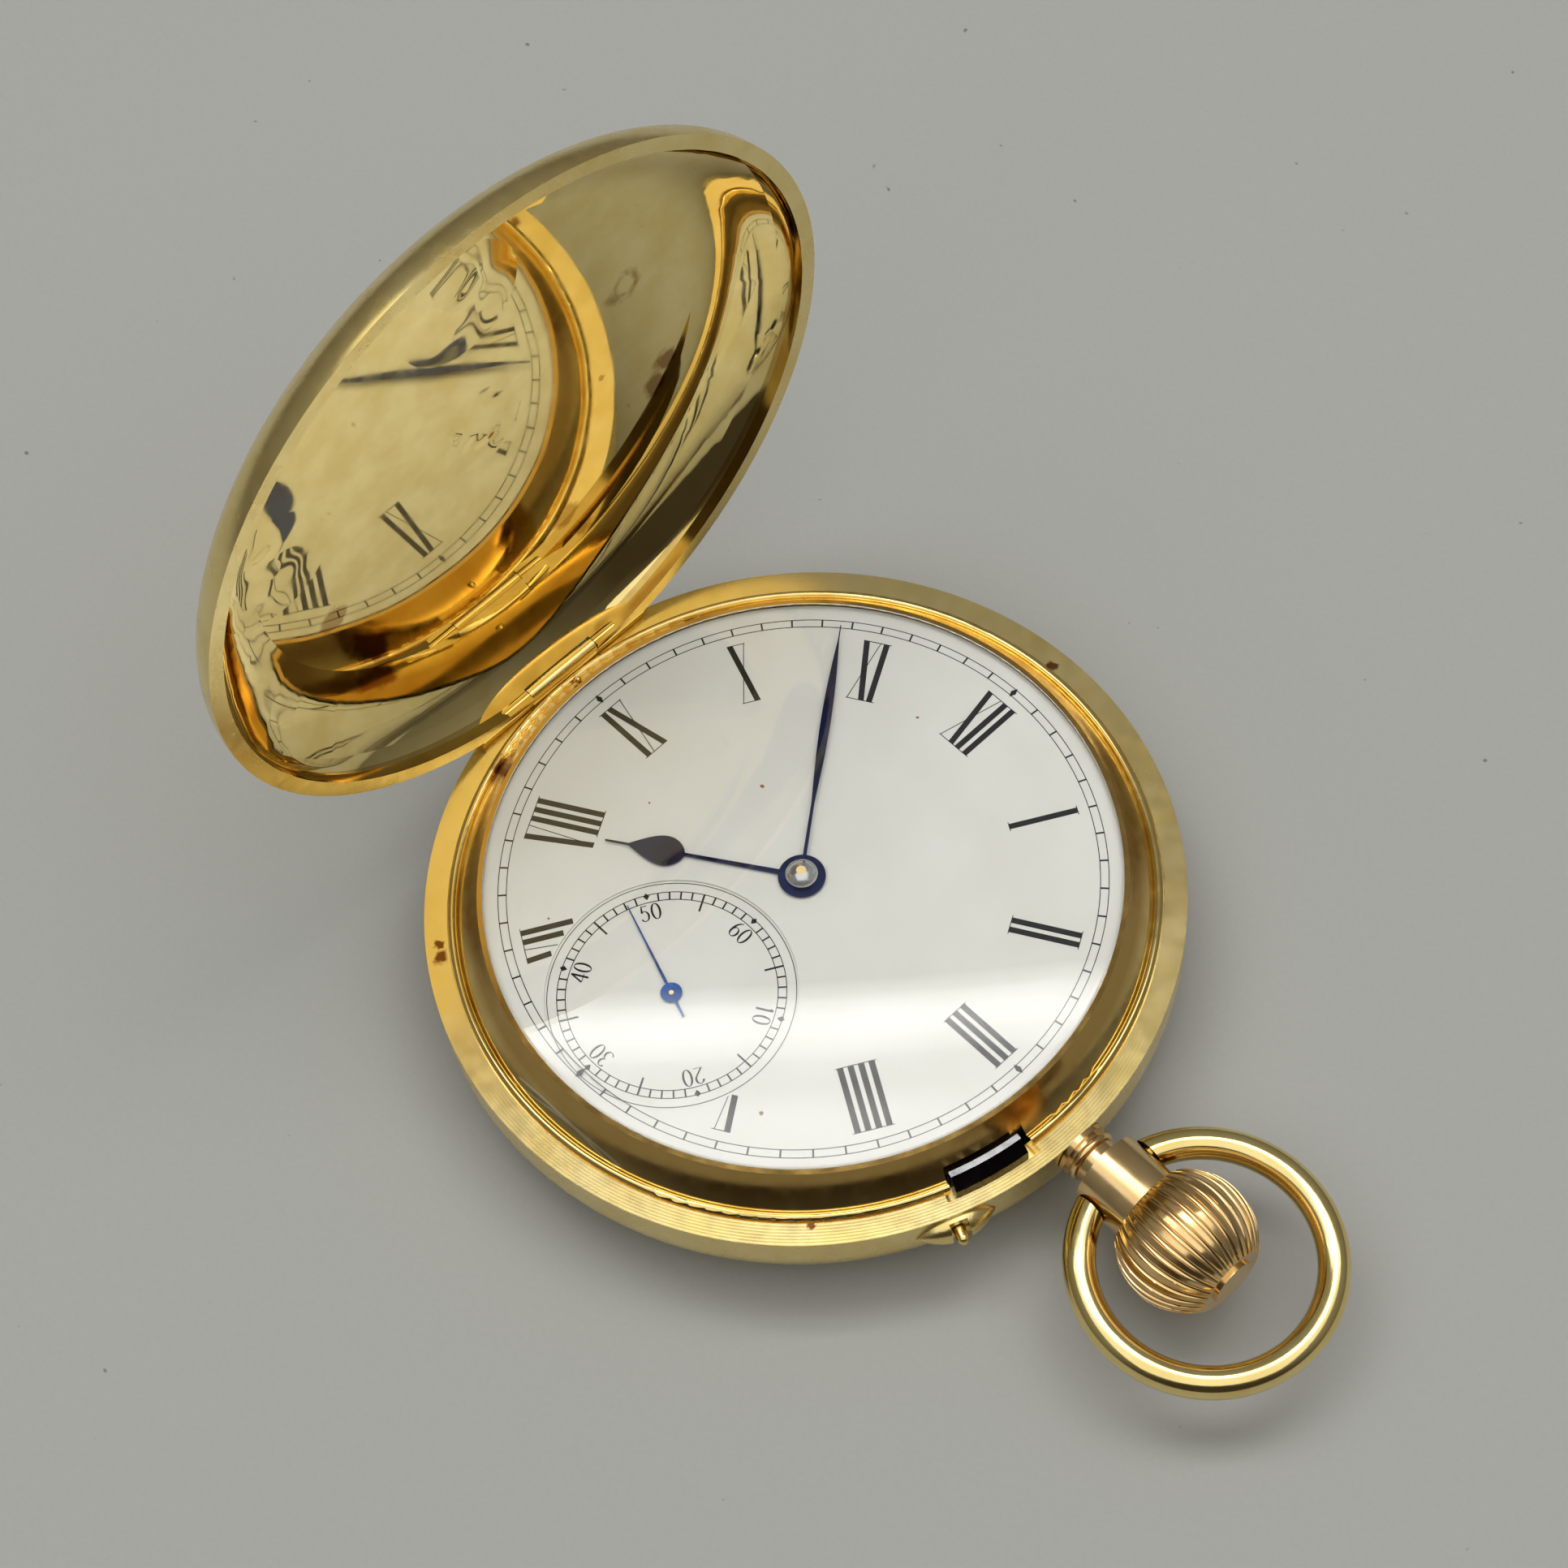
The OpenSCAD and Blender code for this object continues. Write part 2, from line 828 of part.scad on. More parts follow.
module hour_hand() {
    color(blued)
        scale(u)
            difference() {
                rotate(90 - hour_angle)
                    prism(hour_z, hour_z + hand_t) {
                        circle(1.55);
                        taper(0.5, hour_len, 0.17, 0.04);
                        polygon(leaf(hour_len - 5.4, hour_len - 1.5, 1.08, 0.68));
                    }
                disc(1, 9, 12);
            }
}

module minute_hand() {
    color(blued)
        scale(u)
            difference() {
                union() {
                    rotate(90 - minute_angle)
                        prism(minute_z, minute_z + hand_t) {
                            taper(0.7, minute_len, 0.12, 0.03);
                            polygon(leaf(3.5, minute_len - 0.6, 0.33, 1.12));
                        }
                    disc(1.05, minute_z - 0.05, cap_z);
                }
                disc(0.62, 9, 12);
            }
}

module seconds_hand() {
    z = dial_top - 0.05;
    color(blued)
        scale(u)
            at(fourth_p)
                difference() {
                    union() {
                        rotate(90 - second_angle)
                            prism(z, z + 0.09) {
                                taper(0, second_len, 0.1, 0.03);
                                taper(-1.9, 0, 0.07, 0.1);
                                circle(0.7);
                            }
                        disc(0.3, z - 0.35, z + 0.09);
                    }
                    disc(0.16, 9, 12);
                }
}

// Flat wheel with arms
module spoked(n, pitch, m, arms, rim, hub) {
    root = pitch - 1.2 * m;
    difference() {
        polygon(toothed(n, pitch + 0.9 * m, root, 0.07, 0.326));
        difference() {
            circle(root - rim);
            circle(hub);
            for (i = [0:arms - 1])
                rotate(i * 360 / arms + 18)
                    translate([0, -0.3])
                        square([root, 0.6]);
        }
    }
}

module leaves(n, pitch) {
    m = 2 * pitch / n;
    polygon(toothed(n, pitch + 0.7 * m, pitch - 1.3 * m, 0.1, 0.2));
}

// Arbor with a pivot at each end
module arbor(r, z1, z2, pivot, p1, p2) {
    disc(r, z1, z2);
    disc(pivot, p1, p2);
}

// Turns a wheel so that a tooth points from a to b
module tooth_to(a, b) {
    rotate(bearing(a, b))
        children();
}

// Turns a pinion of n leaves so that a gap points from a to b
module gap_to(a, b, n) {
    rotate(bearing(a, b) + 180 / n)
        children();
}

module cannon_pinion() {
    color(steel)
        scale(u)
            difference() {
                union() {
                    gap_to(centre_p, minute_p, 10)
                        prism(8.3, 8.68)
                            leaves(10, 1);
                    disc(0.62, 8.3, cap_z);
                    translate([0, 0, cap_z])
                        intersection() {
                            translate([0, 0, -0.65])
                                sphere(1.15);
                            disc(0.95, 0, 1);
                        }
                }
                disc(0.33, 8, cap_z + 1);
            }
}

module minute_wheel() {
    color(gilt)
        scale(u)
            at(minute_p)
                difference() {
                    union() {
                        tooth_to(minute_p, centre_p)
                            prism(8.35, 8.62)
                                polygon(toothed(30, 3.18, 2.76, 0.07, 0.326));
                        gap_to(minute_p, centre_p, 8)
                            prism(8.62, 9.05)
                                leaves(8, 0.8);
                    }
                    disc(0.3 + play, 8, 10);
                }
}

module hour_wheel() {
    color(gilt)
        scale(u)
            difference() {
                union() {
                    tooth_to(centre_p, minute_p)
                        prism(8.74, 9)
                            spoked(32, 3.2, 0.2, 4, 0.5, 1.5);
                    disc(1, 8.74, hour_z + hand_t);
                }
                disc(0.62 + play, 8, 12);
            }
}

module main_plate() {
    color(gilt)
        scale(u)
            difference() {
                union() {
                    disc(plate_r, plate_z, plate_top);
                    disc(bezel_in_r - 0.1, seat_z, seat_z + 0.7);
                    slab(17.7, plate_r - 0.5, -1.8, 1.8, 5.2, plate_z);
                }
                // Room for the motion work, with the minute wheel's post left standing
                difference() {
                    disc(7.6, recess_z, plate_top + 1);
                    at(minute_p)
                        disc(0.3, recess_z - 1, 9.12);
                }
                disc(0.4 + play, 6, 9);
                on_pendant(17)
                    cylinder(r = stem_r + play, h = plate_r - 15.9);
                slab(15.1, 17.65, -2.2, 2.2, 5, 8.6);
                for (p = [third_p, fourth_p, escape_p, pallet_p, balance_p])
                    at(p)
                        disc(0.75, 7, 7.7);
                at(fourth_p)
                    disc(0.45, 7, 10);
                at(barrel_p)
                    disc(0.6 + play, 7, 8.1);
                for (p = concat(barrel_feet, train_feet))
                    at(p)
                        disc(0.5, 7, 8.4);
                at(pallet_foot)
                    disc(0.4, 7, 8.4);
                at(setting_p)
                    disc(0.4, 7, 8.4);
                for (a = [45, 165, 285])
                    at(polar(17.5, a))
                        disc(0.4, 8.5, 10);
                for (a = [60, 236])
                    at(polar(case_screw_r, a))
                        disc(0.45, 7, 8.8);
                for (p = cock_screws)
                    at(p)
                        disc(0.3, 7, 8.4);
            }
}

// Flat of a bridge, cut back around the balance and its cock
module bridge_flat(y1, y2) {
    difference() {
        intersection() {
            circle(bridge_r);
            translate([-20, y1])
                square([40, y2 - y1]);
        }
        translate(balance_p)
            circle(7.4);
        difference() {
            wedge(cock_az - 12, cock_az + 12);
            circle(cock_r[0] - 1);
        }
    }
}

module barrel_bridge() {
    color(gilt)
        scale(u)
            difference() {
                union() {
                    difference() {
                        prism(bridge_z[0], bridge_z[1])
                            bridge_flat(-3.65, 20);
                        at(crown_wheel_p)
                            ring(3.2, 4.75, bridge_z[0] - 1, 4.42);
                    }
                    at(crown_wheel_p)
                        disc(1.2, 3.12, bridge_z[0] + 0.1);
                    for (p = barrel_feet)
                        at(p)
                            disc(1.2, bridge_z[1] - 0.1, plate_z);
                }
                slab(15.1, 20, -2.2, 2.2, 3, 5);
                disc(0.25 + play, 3, 5);
                at(barrel_p)
                    disc(0.8 + play, 3, 5);
                at(crown_wheel_p)
                    disc(0.4, 3, 5);
                at(click_p)
                    disc(0.35, 3, 5);
                for (p = barrel_feet)
                    at(p)
                        disc(0.5, 3, 9);
                at(click_foot)
                    disc(0.3, 3, 5);
            }
}

module train_bridge() {
    color(gilt)
        scale(u)
            difference() {
                union() {
                    prism(bridge_z[0], bridge_z[1])
                        bridge_flat(-20, -3.95);
                    for (p = train_feet)
                        at(p)
                            disc(1.2, bridge_z[1] - 0.1, plate_z);
                }
                for (p = [third_p, fourth_p, escape_p])
                    at(p)
                        disc(0.75, 3, 5);
                for (p = train_feet)
                    at(p)
                        disc(0.5, 3, 9);
            }
}

module balance_cock() {
    color(gilt)
        scale(u)
            difference() {
                union() {
                    prism(3.15, 3.75) {
                        translate(balance_p)
                            circle(2.4);
                        intersection() {
                            circle(cock_r[1]);
                            link(balance_p, polar(cock_r[1] - 0.7, cock_az), 1.5);
                        }
                    }
                    arc_bar(cock_r[0], cock_r[1], 3.15, plate_z, cock_az - 11, cock_az + 11);
                }
                at(balance_p)
                    disc(0.6, 3, 4);
                at(stud_p)
                    disc(0.22, 3, 4);
                for (p = cock_screws)
                    at(p) {
                        disc(0.3, 3, 8);
                        disc(0.5, 3, 3.4);
                    }
            }
}

module pallet_cock() {
    color(gilt)
        scale(u)
            difference() {
                union() {
                    prism(5.2, 5.9) {
                        translate(pallet_p)
                            circle(1.15);
                        link(pallet_p, pallet_foot, 0.9);
                    }
                    at(pallet_foot)
                        disc(1.1, 5.2, plate_z);
                }
                at(pallet_p)
                    disc(0.6, 5, 6);
                at(pallet_foot)
                    disc(0.4, 5, 8);
            }
}

module plate_screws() {
    color(blued)
        scale(u)
            union() {
                for (p = concat(barrel_feet, train_feet))
                    at(p)
                        slotted_screw(0.5, 0.95, 3.4, bridge_z[0], 8.3);
                for (p = cock_screws)
                    at(p)
                        slotted_screw(0.3, 0.5, 3.15, 3.4, 8.2);
                at(pallet_foot)
                    slotted_screw(0.4, 0.75, 4.9, 5.2, 8.2);
                at(setting_p)
                    slotted_screw(0.4, 0.8, 5.8, 6.1, 8.2);
                at(click_foot)
                    slotted_screw(0.3, 0.6, 3.05, 3.3, 4.4);
                at(click_p)
                    slotted_screw(0.35, 0.7, 2.9, 3.17, 4.4);
            }
}

// Bearing stones, pressed into the plate, the train bridge and the two cocks
module jewels() {
    color(ruby)
        scale(u)
            union() {
                for (p = [third_p, fourth_p])
                    at(p)
                        ring(0.15 + play, 0.75, 4.1, 4.5);
                at(escape_p)
                    ring(0.1 + play, 0.75, 4.1, 4.5);
                at(third_p)
                    ring(0.15 + play, 0.75, 7.32, 7.65);
                at(fourth_p)
                    ring(0.16 + play, 0.75, 7.32, 7.65);
                for (p = [escape_p, pallet_p, balance_p])
                    at(p)
                        ring(0.1 + play, 0.75, 7.32, 7.65);
                at(pallet_p)
                    ring(0.1 + play, 0.6, 5.4, 5.8);
                at(balance_p)
                    ring(0.1 + play, 0.6, 3.4, 3.7);
            }
}

module barrel_drum() {
    color(gilt)
        scale(u)
            at(barrel_p)
                difference() {
                    union() {
                        disc(8, 5.1, 7.2);
                        tooth_to(barrel_p, centre_p)
                            prism(6.7, 7.1)
                                polygon(toothed(80, 8.69, 8.25, 0.07, 0.326));
                    }
                    disc(7.5, 5, 6.9);
                    disc(0.8 + play, 5, 8);
                }
}

module barrel_cover() {
    color(gilt)
        scale(u)
            at(barrel_p)
                ring(0.8 + play, 7.5, 5.1, 5.4);
}

module barrel_arbor() {
    color(steel)
        scale(u)
            at(barrel_p)
                difference() {
                    union() {
                        disc(0.8, 3.75, 7.25);
                        disc(1.9, 5.45, 6.85);
                        disc(0.6, 7.2, 8);
                        slab(-0.55, 0.55, -0.55, 0.55, 3.15, 3.8);
                    }
                    disc(0.35, 3, 4.6);
                }
}

// Blade wound from the arbor's core to the drum's wall
module mainspring() {
    color(steel)
        scale(u)
            at(barrel_p)
                prism(5.5, 6.8)
                    polygon(spiral(1.95, 7.24, 7, 0.22, 252));
}

module ratchet_wheel() {
    color(steel)
        scale(u)
            at(barrel_p)
                tooth_to(barrel_p, crown_wheel_p)
                    difference() {
                        prism(3.15, 3.6)
                            polygon(toothed(48, ratchet_r + 0.2, ratchet_r - 0.28, 0.08, 0.31));
                        rotate(-bearing(barrel_p, crown_wheel_p))
                            slab(-0.55, 0.55, -0.55, 0.55, 3, 4);
                    }
}

module ratchet_screw() {
    color(steel)
        scale(u)
            at(barrel_p)
                slotted_screw(0.35, 1.6, 2.85, 3.15, 4.5);
}

module click() {
    tip = barrel_p + polar(ratchet_r + 0.42, 112);
    color(steel)
        scale(u)
            difference() {
                prism(3.2, 3.6) {
                    translate(click_p)
                        circle(0.9);
                    link(click_p, tip, 0.18);
                    link(click_p, click_p + polar(1.7, 150), 0.35);
                }
                at(click_p)
                    disc(0.35 + play, 3, 4);
            }
}

module click_spring() {
    color(steel)
        scale(u)
            difference() {
                prism(3.3, 3.69) {
                    translate(click_foot)
                        circle(0.55);
                    link(click_foot, click_p + [-2.9, 0.3], 0.15);
                }
                at(click_foot)
                    disc(0.3, 3, 4);
            }
}

module crown_wheel() {
    color(steel)
        scale(u)
            at(crown_wheel_p)
                difference() {
                    union() {
                        gap_to(crown_wheel_p, barrel_p, 34)
                            prism(3.15, 3.6)
                                polygon(toothed(34, crown_wheel_r + 0.2, crown_wheel_r - 0.28,
                                    0.08, 0.31));
                        ring(3.4, 4.1, 3.5, 4.1);
                        // Face teeth under the winding pinion
                        prism(4.1, 4.38)
                            intersection() {
                                difference() {
                                    circle(4.1);
                                    circle(3.4);
                                }
                                for (i = [0:33])
                                    rotate(i * 360 / 34)
                                        translate([3, -0.17])
                                            square([1.5, 0.34]);
                            }
                    }
                    disc(1.2 + play, 3, 4);
                }
}

module crown_wheel_screw() {
    color(steel)
        scale(u)
            at(crown_wheel_p)
                slotted_screw(0.4, 1.9, 2.82, 3.12, 4.4);
}

module centre_wheel() {
    color(gilt)
        scale(u)
            union() {
                tooth_to(centre_p, third_p)
                    prism(4.72, 4.95)
                        spoked(80, centre_pitch, 0.2, 5, 0.55, 1.4);
                gap_to(centre_p, barrel_p, 10)
                    prism(6.5, 7.24)
                        leaves(10, centre_pinion_r);
                arbor(0.4, 4.63, 8.22, 0.25, 3.8, 5);
                disc(0.33, 8, cap_z + 0.38);
            }
}

module third_wheel() {
    color(gilt)
        scale(u)
            at(third_p)
                union() {
                    tooth_to(third_p, fourth_p)
                        prism(6.4, 6.6)
                            spoked(75, third_pitch, 0.16, 5, 0.5, 1);
                    gap_to(third_p, centre_p, 10)
                        prism(4.65, 5.03)
                            leaves(10, 1);
                    arbor(0.3, 4.65, 7.25, 0.15, 3.95, 7.6);
                }
}

module fourth_wheel() {
    color(gilt)
        scale(u)
            at(fourth_p)
                union() {
                    tooth_to(fourth_p, escape_p)
                        prism(5.6, 5.8)
                            spoked(70, fourth_pitch, 0.157, 5, 0.45, 1);
                    gap_to(fourth_p, third_p, 10)
                        prism(6.2, 6.8)
                            leaves(10, 0.8);
                    arbor(0.3, 4.65, 7.25, 0.15, 3.95, 5);
                    disc(0.16, 7, dial_top + 0.04);
                }
}

module escape_wheel() {
    color(steel)
        scale(u)
            at(escape_p)
                union() {
                    prism(6.3, 6.5)
                        difference() {
                            polygon([for (i = [0:14]) each [polar(escape_r - 0.9, i * 24 - 13),
                                polar(escape_r, i * 24 - 1), polar(escape_r, i * 24 + 1),
                                polar(escape_r - 0.9, i * 24 + 3)]]);
                            difference() {
                                circle(escape_r - 1.3);
                                circle(0.7);
                                for (i = [0:3])
                                    rotate(i * 90)
                                        translate([0, -0.2])
                                            square([3, 0.4]);
                            }
                        }
                    gap_to(escape_p, fourth_p, 7)
                        prism(5.45, 5.95)
                            leaves(7, 0.55);
                    arbor(0.22, 4.65, 7.25, 0.1, 3.95, 7.6);
                }
}

module pallet_lever() {
    s1 = escape_p + polar(escape_r + 0.4, lever_dir + 29);
    s2 = escape_p + polar(escape_r + 0.4, lever_dir - 29);
    fork = balance_p + polar(1.75, lever_dir + 180);
    horn = 0.42;
    color(steel)
        scale(u)
            union() {
                prism(6.6, 6.88) {
                    translate(pallet_p)
                        circle(0.55);
                    link(pallet_p, s1, 0.35);
                    link(pallet_p, s2, 0.35);
                    link(pallet_p, fork, 0.22);
                    for (s = [-1, 1])
                        link(fork, fork + polar(0.6, lever_dir + s * 45), 0.14);
                }
                at(pallet_p)
                    arbor(0.22, 6, 7.25, 0.1, 5.45, 7.6);
            }
}

module pallet_jewels() {
    color(ruby)
        scale(u)
            prism(6.22, 6.6)
                for (s = [-1, 1])
                    translate(escape_p + polar(escape_r + 0.27, lever_dir + s * 29))
                        rotate(lever_dir + s * 29 + 8)
                            translate([0, -0.2])
                                square([0.75, 0.4]);
}

module balance_wheel() {
    color(gilt)
        scale(u)
            at(balance_p)
                union() {
                    ring(6, 6.55, 3.95, 4.6);
                    prism(4.3, 4.6)
                        difference() {
                            union() {
                                circle(1);
                                translate([-6.05, -0.4])
                                    square([12.1, 0.8]);
                            }
                            circle(0.35);
                        }
                }
}

module balance_screws() {
    color(gold)
        scale(u)
            at(balance_p)
                for (i = [0:13])
                    rotate(i * 180 / 7 + 12)
                        translate([6.55, 0, 4.275])
                            rotate([0, 90, 0])
                                cylinder(r = 0.28, h = 0.45, $fn = 48);
}

module balance_staff() {
    color(steel)
        scale(u)
            at(balance_p)
                arbor(0.35, 3.78, 7.2, 0.1, 3.45, 7.6);
}

module roller() {
    color(steel)
        scale(u)
            at(balance_p)
                union() {
                    ring(0.35, 1.7, 6, 6.28);
                    at(polar(1.3, lever_dir + 180))
                        disc(0.16, 6.2, 6.55);
                }
}

// Flat balance spring at rest
module hairspring() {
    color(blued)
        scale(u)
            at(balance_p)
                union() {
                    prism(3.95, 4.13)
                        rotate(cock_az)
                            polygon(spiral(0.72, 3.44, 8, 0.07, 288));
                    ring(0.35, 0.75, 3.85, 4.2);
                }
}

module hairspring_stud() {
    color(steel)
        scale(u)
            at(stud_p)
                disc(0.22, 2.95, 4.15);
}

// Lever on the cock that shortens the hairspring
module regulator_index() {
    color(steel)
        scale(u)
            union() {
                at(balance_p)
                    ring(1.4, 2, 2.9, 3.15);
                prism(2.9, 3.15)
                    link(balance_p + polar(2, 75), balance_p + polar(5.2, 75), 0.2);
                prism(2.9, 3.15)
                    link(balance_p + polar(2, 225), balance_p + polar(3.1, 225), 0.2);
            }
}

module end_jewel() {
    color(ruby)
        scale(u)
            at(balance_p)
                disc(0.6, 3.15, 3.4);
}

case_band();
front_cover();
back_cover();
cuvette();
bezel();
crystal();
front_hinge_pin();
back_hinge_pin();
pendant();
pendant_sleeve();
crown();
stem();
winding_pinion();
bow();
button_guard();
set_button();
setting_lever();
lock_spring();
lift_spring();
case_screws();
dial();
hour_hand();
minute_hand();
seconds_hand();
cannon_pinion();
minute_wheel();
hour_wheel();
main_plate();
barrel_bridge();
train_bridge();
balance_cock();
pallet_cock();
plate_screws();
jewels();
barrel_drum();
barrel_cover();
barrel_arbor();
mainspring();
ratchet_wheel();
ratchet_screw();
click();
click_spring();
crown_wheel();
crown_wheel_screw();
centre_wheel();
third_wheel();
fourth_wheel();
escape_wheel();
pallet_lever();
pallet_jewels();
balance_wheel();
balance_screws();
balance_staff();
roller();
hairspring();
hairspring_stud();
regulator_index();
end_jewel();
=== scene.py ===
import json
import math

import bmesh
import bpy
from mathutils import Matrix, Vector


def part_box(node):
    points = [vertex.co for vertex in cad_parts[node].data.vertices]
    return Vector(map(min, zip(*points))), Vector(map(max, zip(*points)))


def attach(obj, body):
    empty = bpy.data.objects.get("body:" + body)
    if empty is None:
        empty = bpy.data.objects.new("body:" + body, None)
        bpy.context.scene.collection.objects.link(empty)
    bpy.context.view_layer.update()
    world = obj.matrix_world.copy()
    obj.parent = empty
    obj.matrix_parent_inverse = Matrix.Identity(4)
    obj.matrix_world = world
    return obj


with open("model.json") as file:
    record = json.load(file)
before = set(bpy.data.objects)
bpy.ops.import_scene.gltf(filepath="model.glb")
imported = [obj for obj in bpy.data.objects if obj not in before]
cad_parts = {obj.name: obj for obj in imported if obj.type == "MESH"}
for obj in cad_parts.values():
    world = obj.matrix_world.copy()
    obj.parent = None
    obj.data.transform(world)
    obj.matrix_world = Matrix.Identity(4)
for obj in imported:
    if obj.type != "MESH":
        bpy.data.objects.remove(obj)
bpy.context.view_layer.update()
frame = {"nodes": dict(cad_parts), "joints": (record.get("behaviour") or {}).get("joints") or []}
nodes = frame["nodes"]

MM = 0.001

# Joints, by name
joints = {joint["name"]: joint for joint in frame["joints"]}

# Places taken from the frame, the level of the case's land, and how deep the seconds dial is sunk
DIAL_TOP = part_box("dial")[1].z
NOSE_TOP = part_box("lock_spring")[1].z
SECONDS_CENTRE = tuple(joints["seconds_turn"]["pos_m"][:2])
LAND_Z = 8 * MM
SUNK_DIAL = 0.15 * MM

# Camera fitted to the photograph: focal length and sensor in millimetres, place, directions
LENS = 85.047
SENSOR = 36
CAMERA_PLACE = Vector((0.09110, -0.07126, 0.21952))
CAMERA_RIGHT = Vector((0.691671, 0.719583, -0.061568))
CAMERA_DOWN = Vector((0.601807, -0.621390, -0.501700))
CAMERA_AHEAD = Vector((-0.399273, 0.309960, -0.862848))


def make_camera():
    data = bpy.data.cameras.new("camera")
    data.sensor_width = SENSOR
    data.lens = LENS
    data.clip_start = 0.01
    data.clip_end = 20
    camera = bpy.data.objects.new("camera", data)
    bpy.context.scene.collection.objects.link(camera)
    turn = Matrix((CAMERA_RIGHT, -CAMERA_DOWN, -CAMERA_AHEAD)).transposed().to_4x4()
    camera.matrix_world = Matrix.Translation(CAMERA_PLACE) @ turn
    bpy.context.scene.camera = camera


class Tree:
    """Builds the node tree of a material or a world"""

    def __init__(self, block):
        block.use_nodes = True
        self.tree = block.node_tree

    def node(self, kind, **values):
        made = self.tree.nodes.new("ShaderNode" + kind)
        for name, value in values.items():
            setattr(made, name, value)
        return made

    def join(self, source, target):
        self.tree.links.new(source, target)

    def coords(self):
        return self.node("TexCoord").outputs["Object"]

    def noise(self, size, detail=3.0):
        """Noise whose patches are about this many metres across"""
        made = self.node("TexNoise")
        made.inputs["Scale"].default_value = 1 / size
        made.inputs["Detail"].default_value = detail
        self.join(self.coords(), made.inputs["Vector"])
        return made.outputs["Fac"]

    def remap(self, source, low, high, to_low, to_high):
        made = self.node("MapRange")
        for name, value in (("From Min", low), ("From Max", high),
                            ("To Min", to_low), ("To Max", to_high)):
            made.inputs[name].default_value = value
        self.join(source, made.inputs["Value"])
        return made.outputs["Result"]

    def blend(self, amount, first, second):
        made = self.node("Mix", data_type="RGBA")
        self.join(amount, made.inputs["Factor"])
        for socket, value in ((made.inputs[6], first), (made.inputs[7], second)):
            if isinstance(value, bpy.types.NodeSocket):
                self.join(value, socket)
            else:
                socket.default_value = (*value, 1)
        return made.outputs[2]

    def height(self):
        """Height above the floor"""
        split = self.node("SeparateXYZ")
        self.join(self.coords(), split.inputs[0])
        return split.outputs["Z"]

    def rings(self, pitch):
        """Fine lines round the watch's axis, this far apart"""
        made = self.node("TexWave", wave_type="RINGS", rings_direction="Z")
        made.inputs["Scale"].default_value = math.pi / (10 * pitch)
        made.inputs["Distortion"].default_value = 1.5
        made.inputs["Detail Scale"].default_value = 6
        self.join(self.coords(), made.inputs["Vector"])
        return made.outputs["Fac"]

    def calc(self, operation, first, second=0.0):
        made = self.node("Math", operation=operation)
        for socket, value in ((made.inputs[0], first), (made.inputs[1], second)):
            if isinstance(value, bpy.types.NodeSocket):
                self.join(value, socket)
            else:
                socket.default_value = value
        return made.outputs[0]

    def spot(self, place, size, soft=0.4, ragged=0.0):
        """1 at a point and 0 beyond size metres from it"""
        made = self.node("VectorMath", operation="DISTANCE")
        self.join(self.coords(), made.inputs[0])
        made.inputs[1].default_value = place
        away = made.outputs["Value"]
        if ragged:
            edge = self.remap(self.noise(size, 4), 0.3, 0.7, -ragged * size, ragged * size)
            away = self.calc("ADD", away, edge)
        return self.remap(away, size * soft, size, 1, 0)

    def line(self, start, end, width):
        """1 along a line seen from above and 0 beyond width metres from it"""
        split = self.node("SeparateXYZ")
        self.join(self.coords(), split.inputs[0])
        long = math.dist(start, end)
        ux, uy = (end[0] - start[0]) / long, (end[1] - start[1]) / long
        middle = (start[0] + end[0]) / 2, (start[1] + end[1]) / 2
        x = self.calc("SUBTRACT", split.outputs["X"], middle[0])
        y = self.calc("SUBTRACT", split.outputs["Y"], middle[1])
        along = self.calc("ADD", self.calc("MULTIPLY", x, ux), self.calc("MULTIPLY", y, uy))
        across = self.calc("SUBTRACT", self.calc("MULTIPLY", x, uy), self.calc("MULTIPLY", y, ux))
        near = self.remap(self.calc("ABSOLUTE", across), width * 0.5, width, 1, 0)
        within = self.remap(self.calc("ABSOLUTE", along), long * 0.48, long * 0.5, 1, 0)
        return self.calc("MULTIPLY", near, within)

    def bump(self, height, distance, strength, below=None):
        made = self.node("Bump")
        made.inputs["Strength"].default_value = strength
        made.inputs["Distance"].default_value = distance
        self.join(height, made.inputs["Height"])
        if below:
            self.join(below, made.inputs["Normal"])
        return made.outputs["Normal"]


def new_material(name):
    material = bpy.data.materials.new(name)
    tree = Tree(material)
    return material, tree, tree.tree.nodes["Principled BSDF"]


# Sizes of the metals' surface: patches of tone, slow waves, grain, turned lines, and their depths
PATCH = 3 * MM
WAVE = 7 * MM
WAVE_DEPTH = 0.1 * MM
GRAIN = 0.12 * MM
TURNED_PITCH = 0.21 * MM
FINE_DEPTH = 0.01 * MM


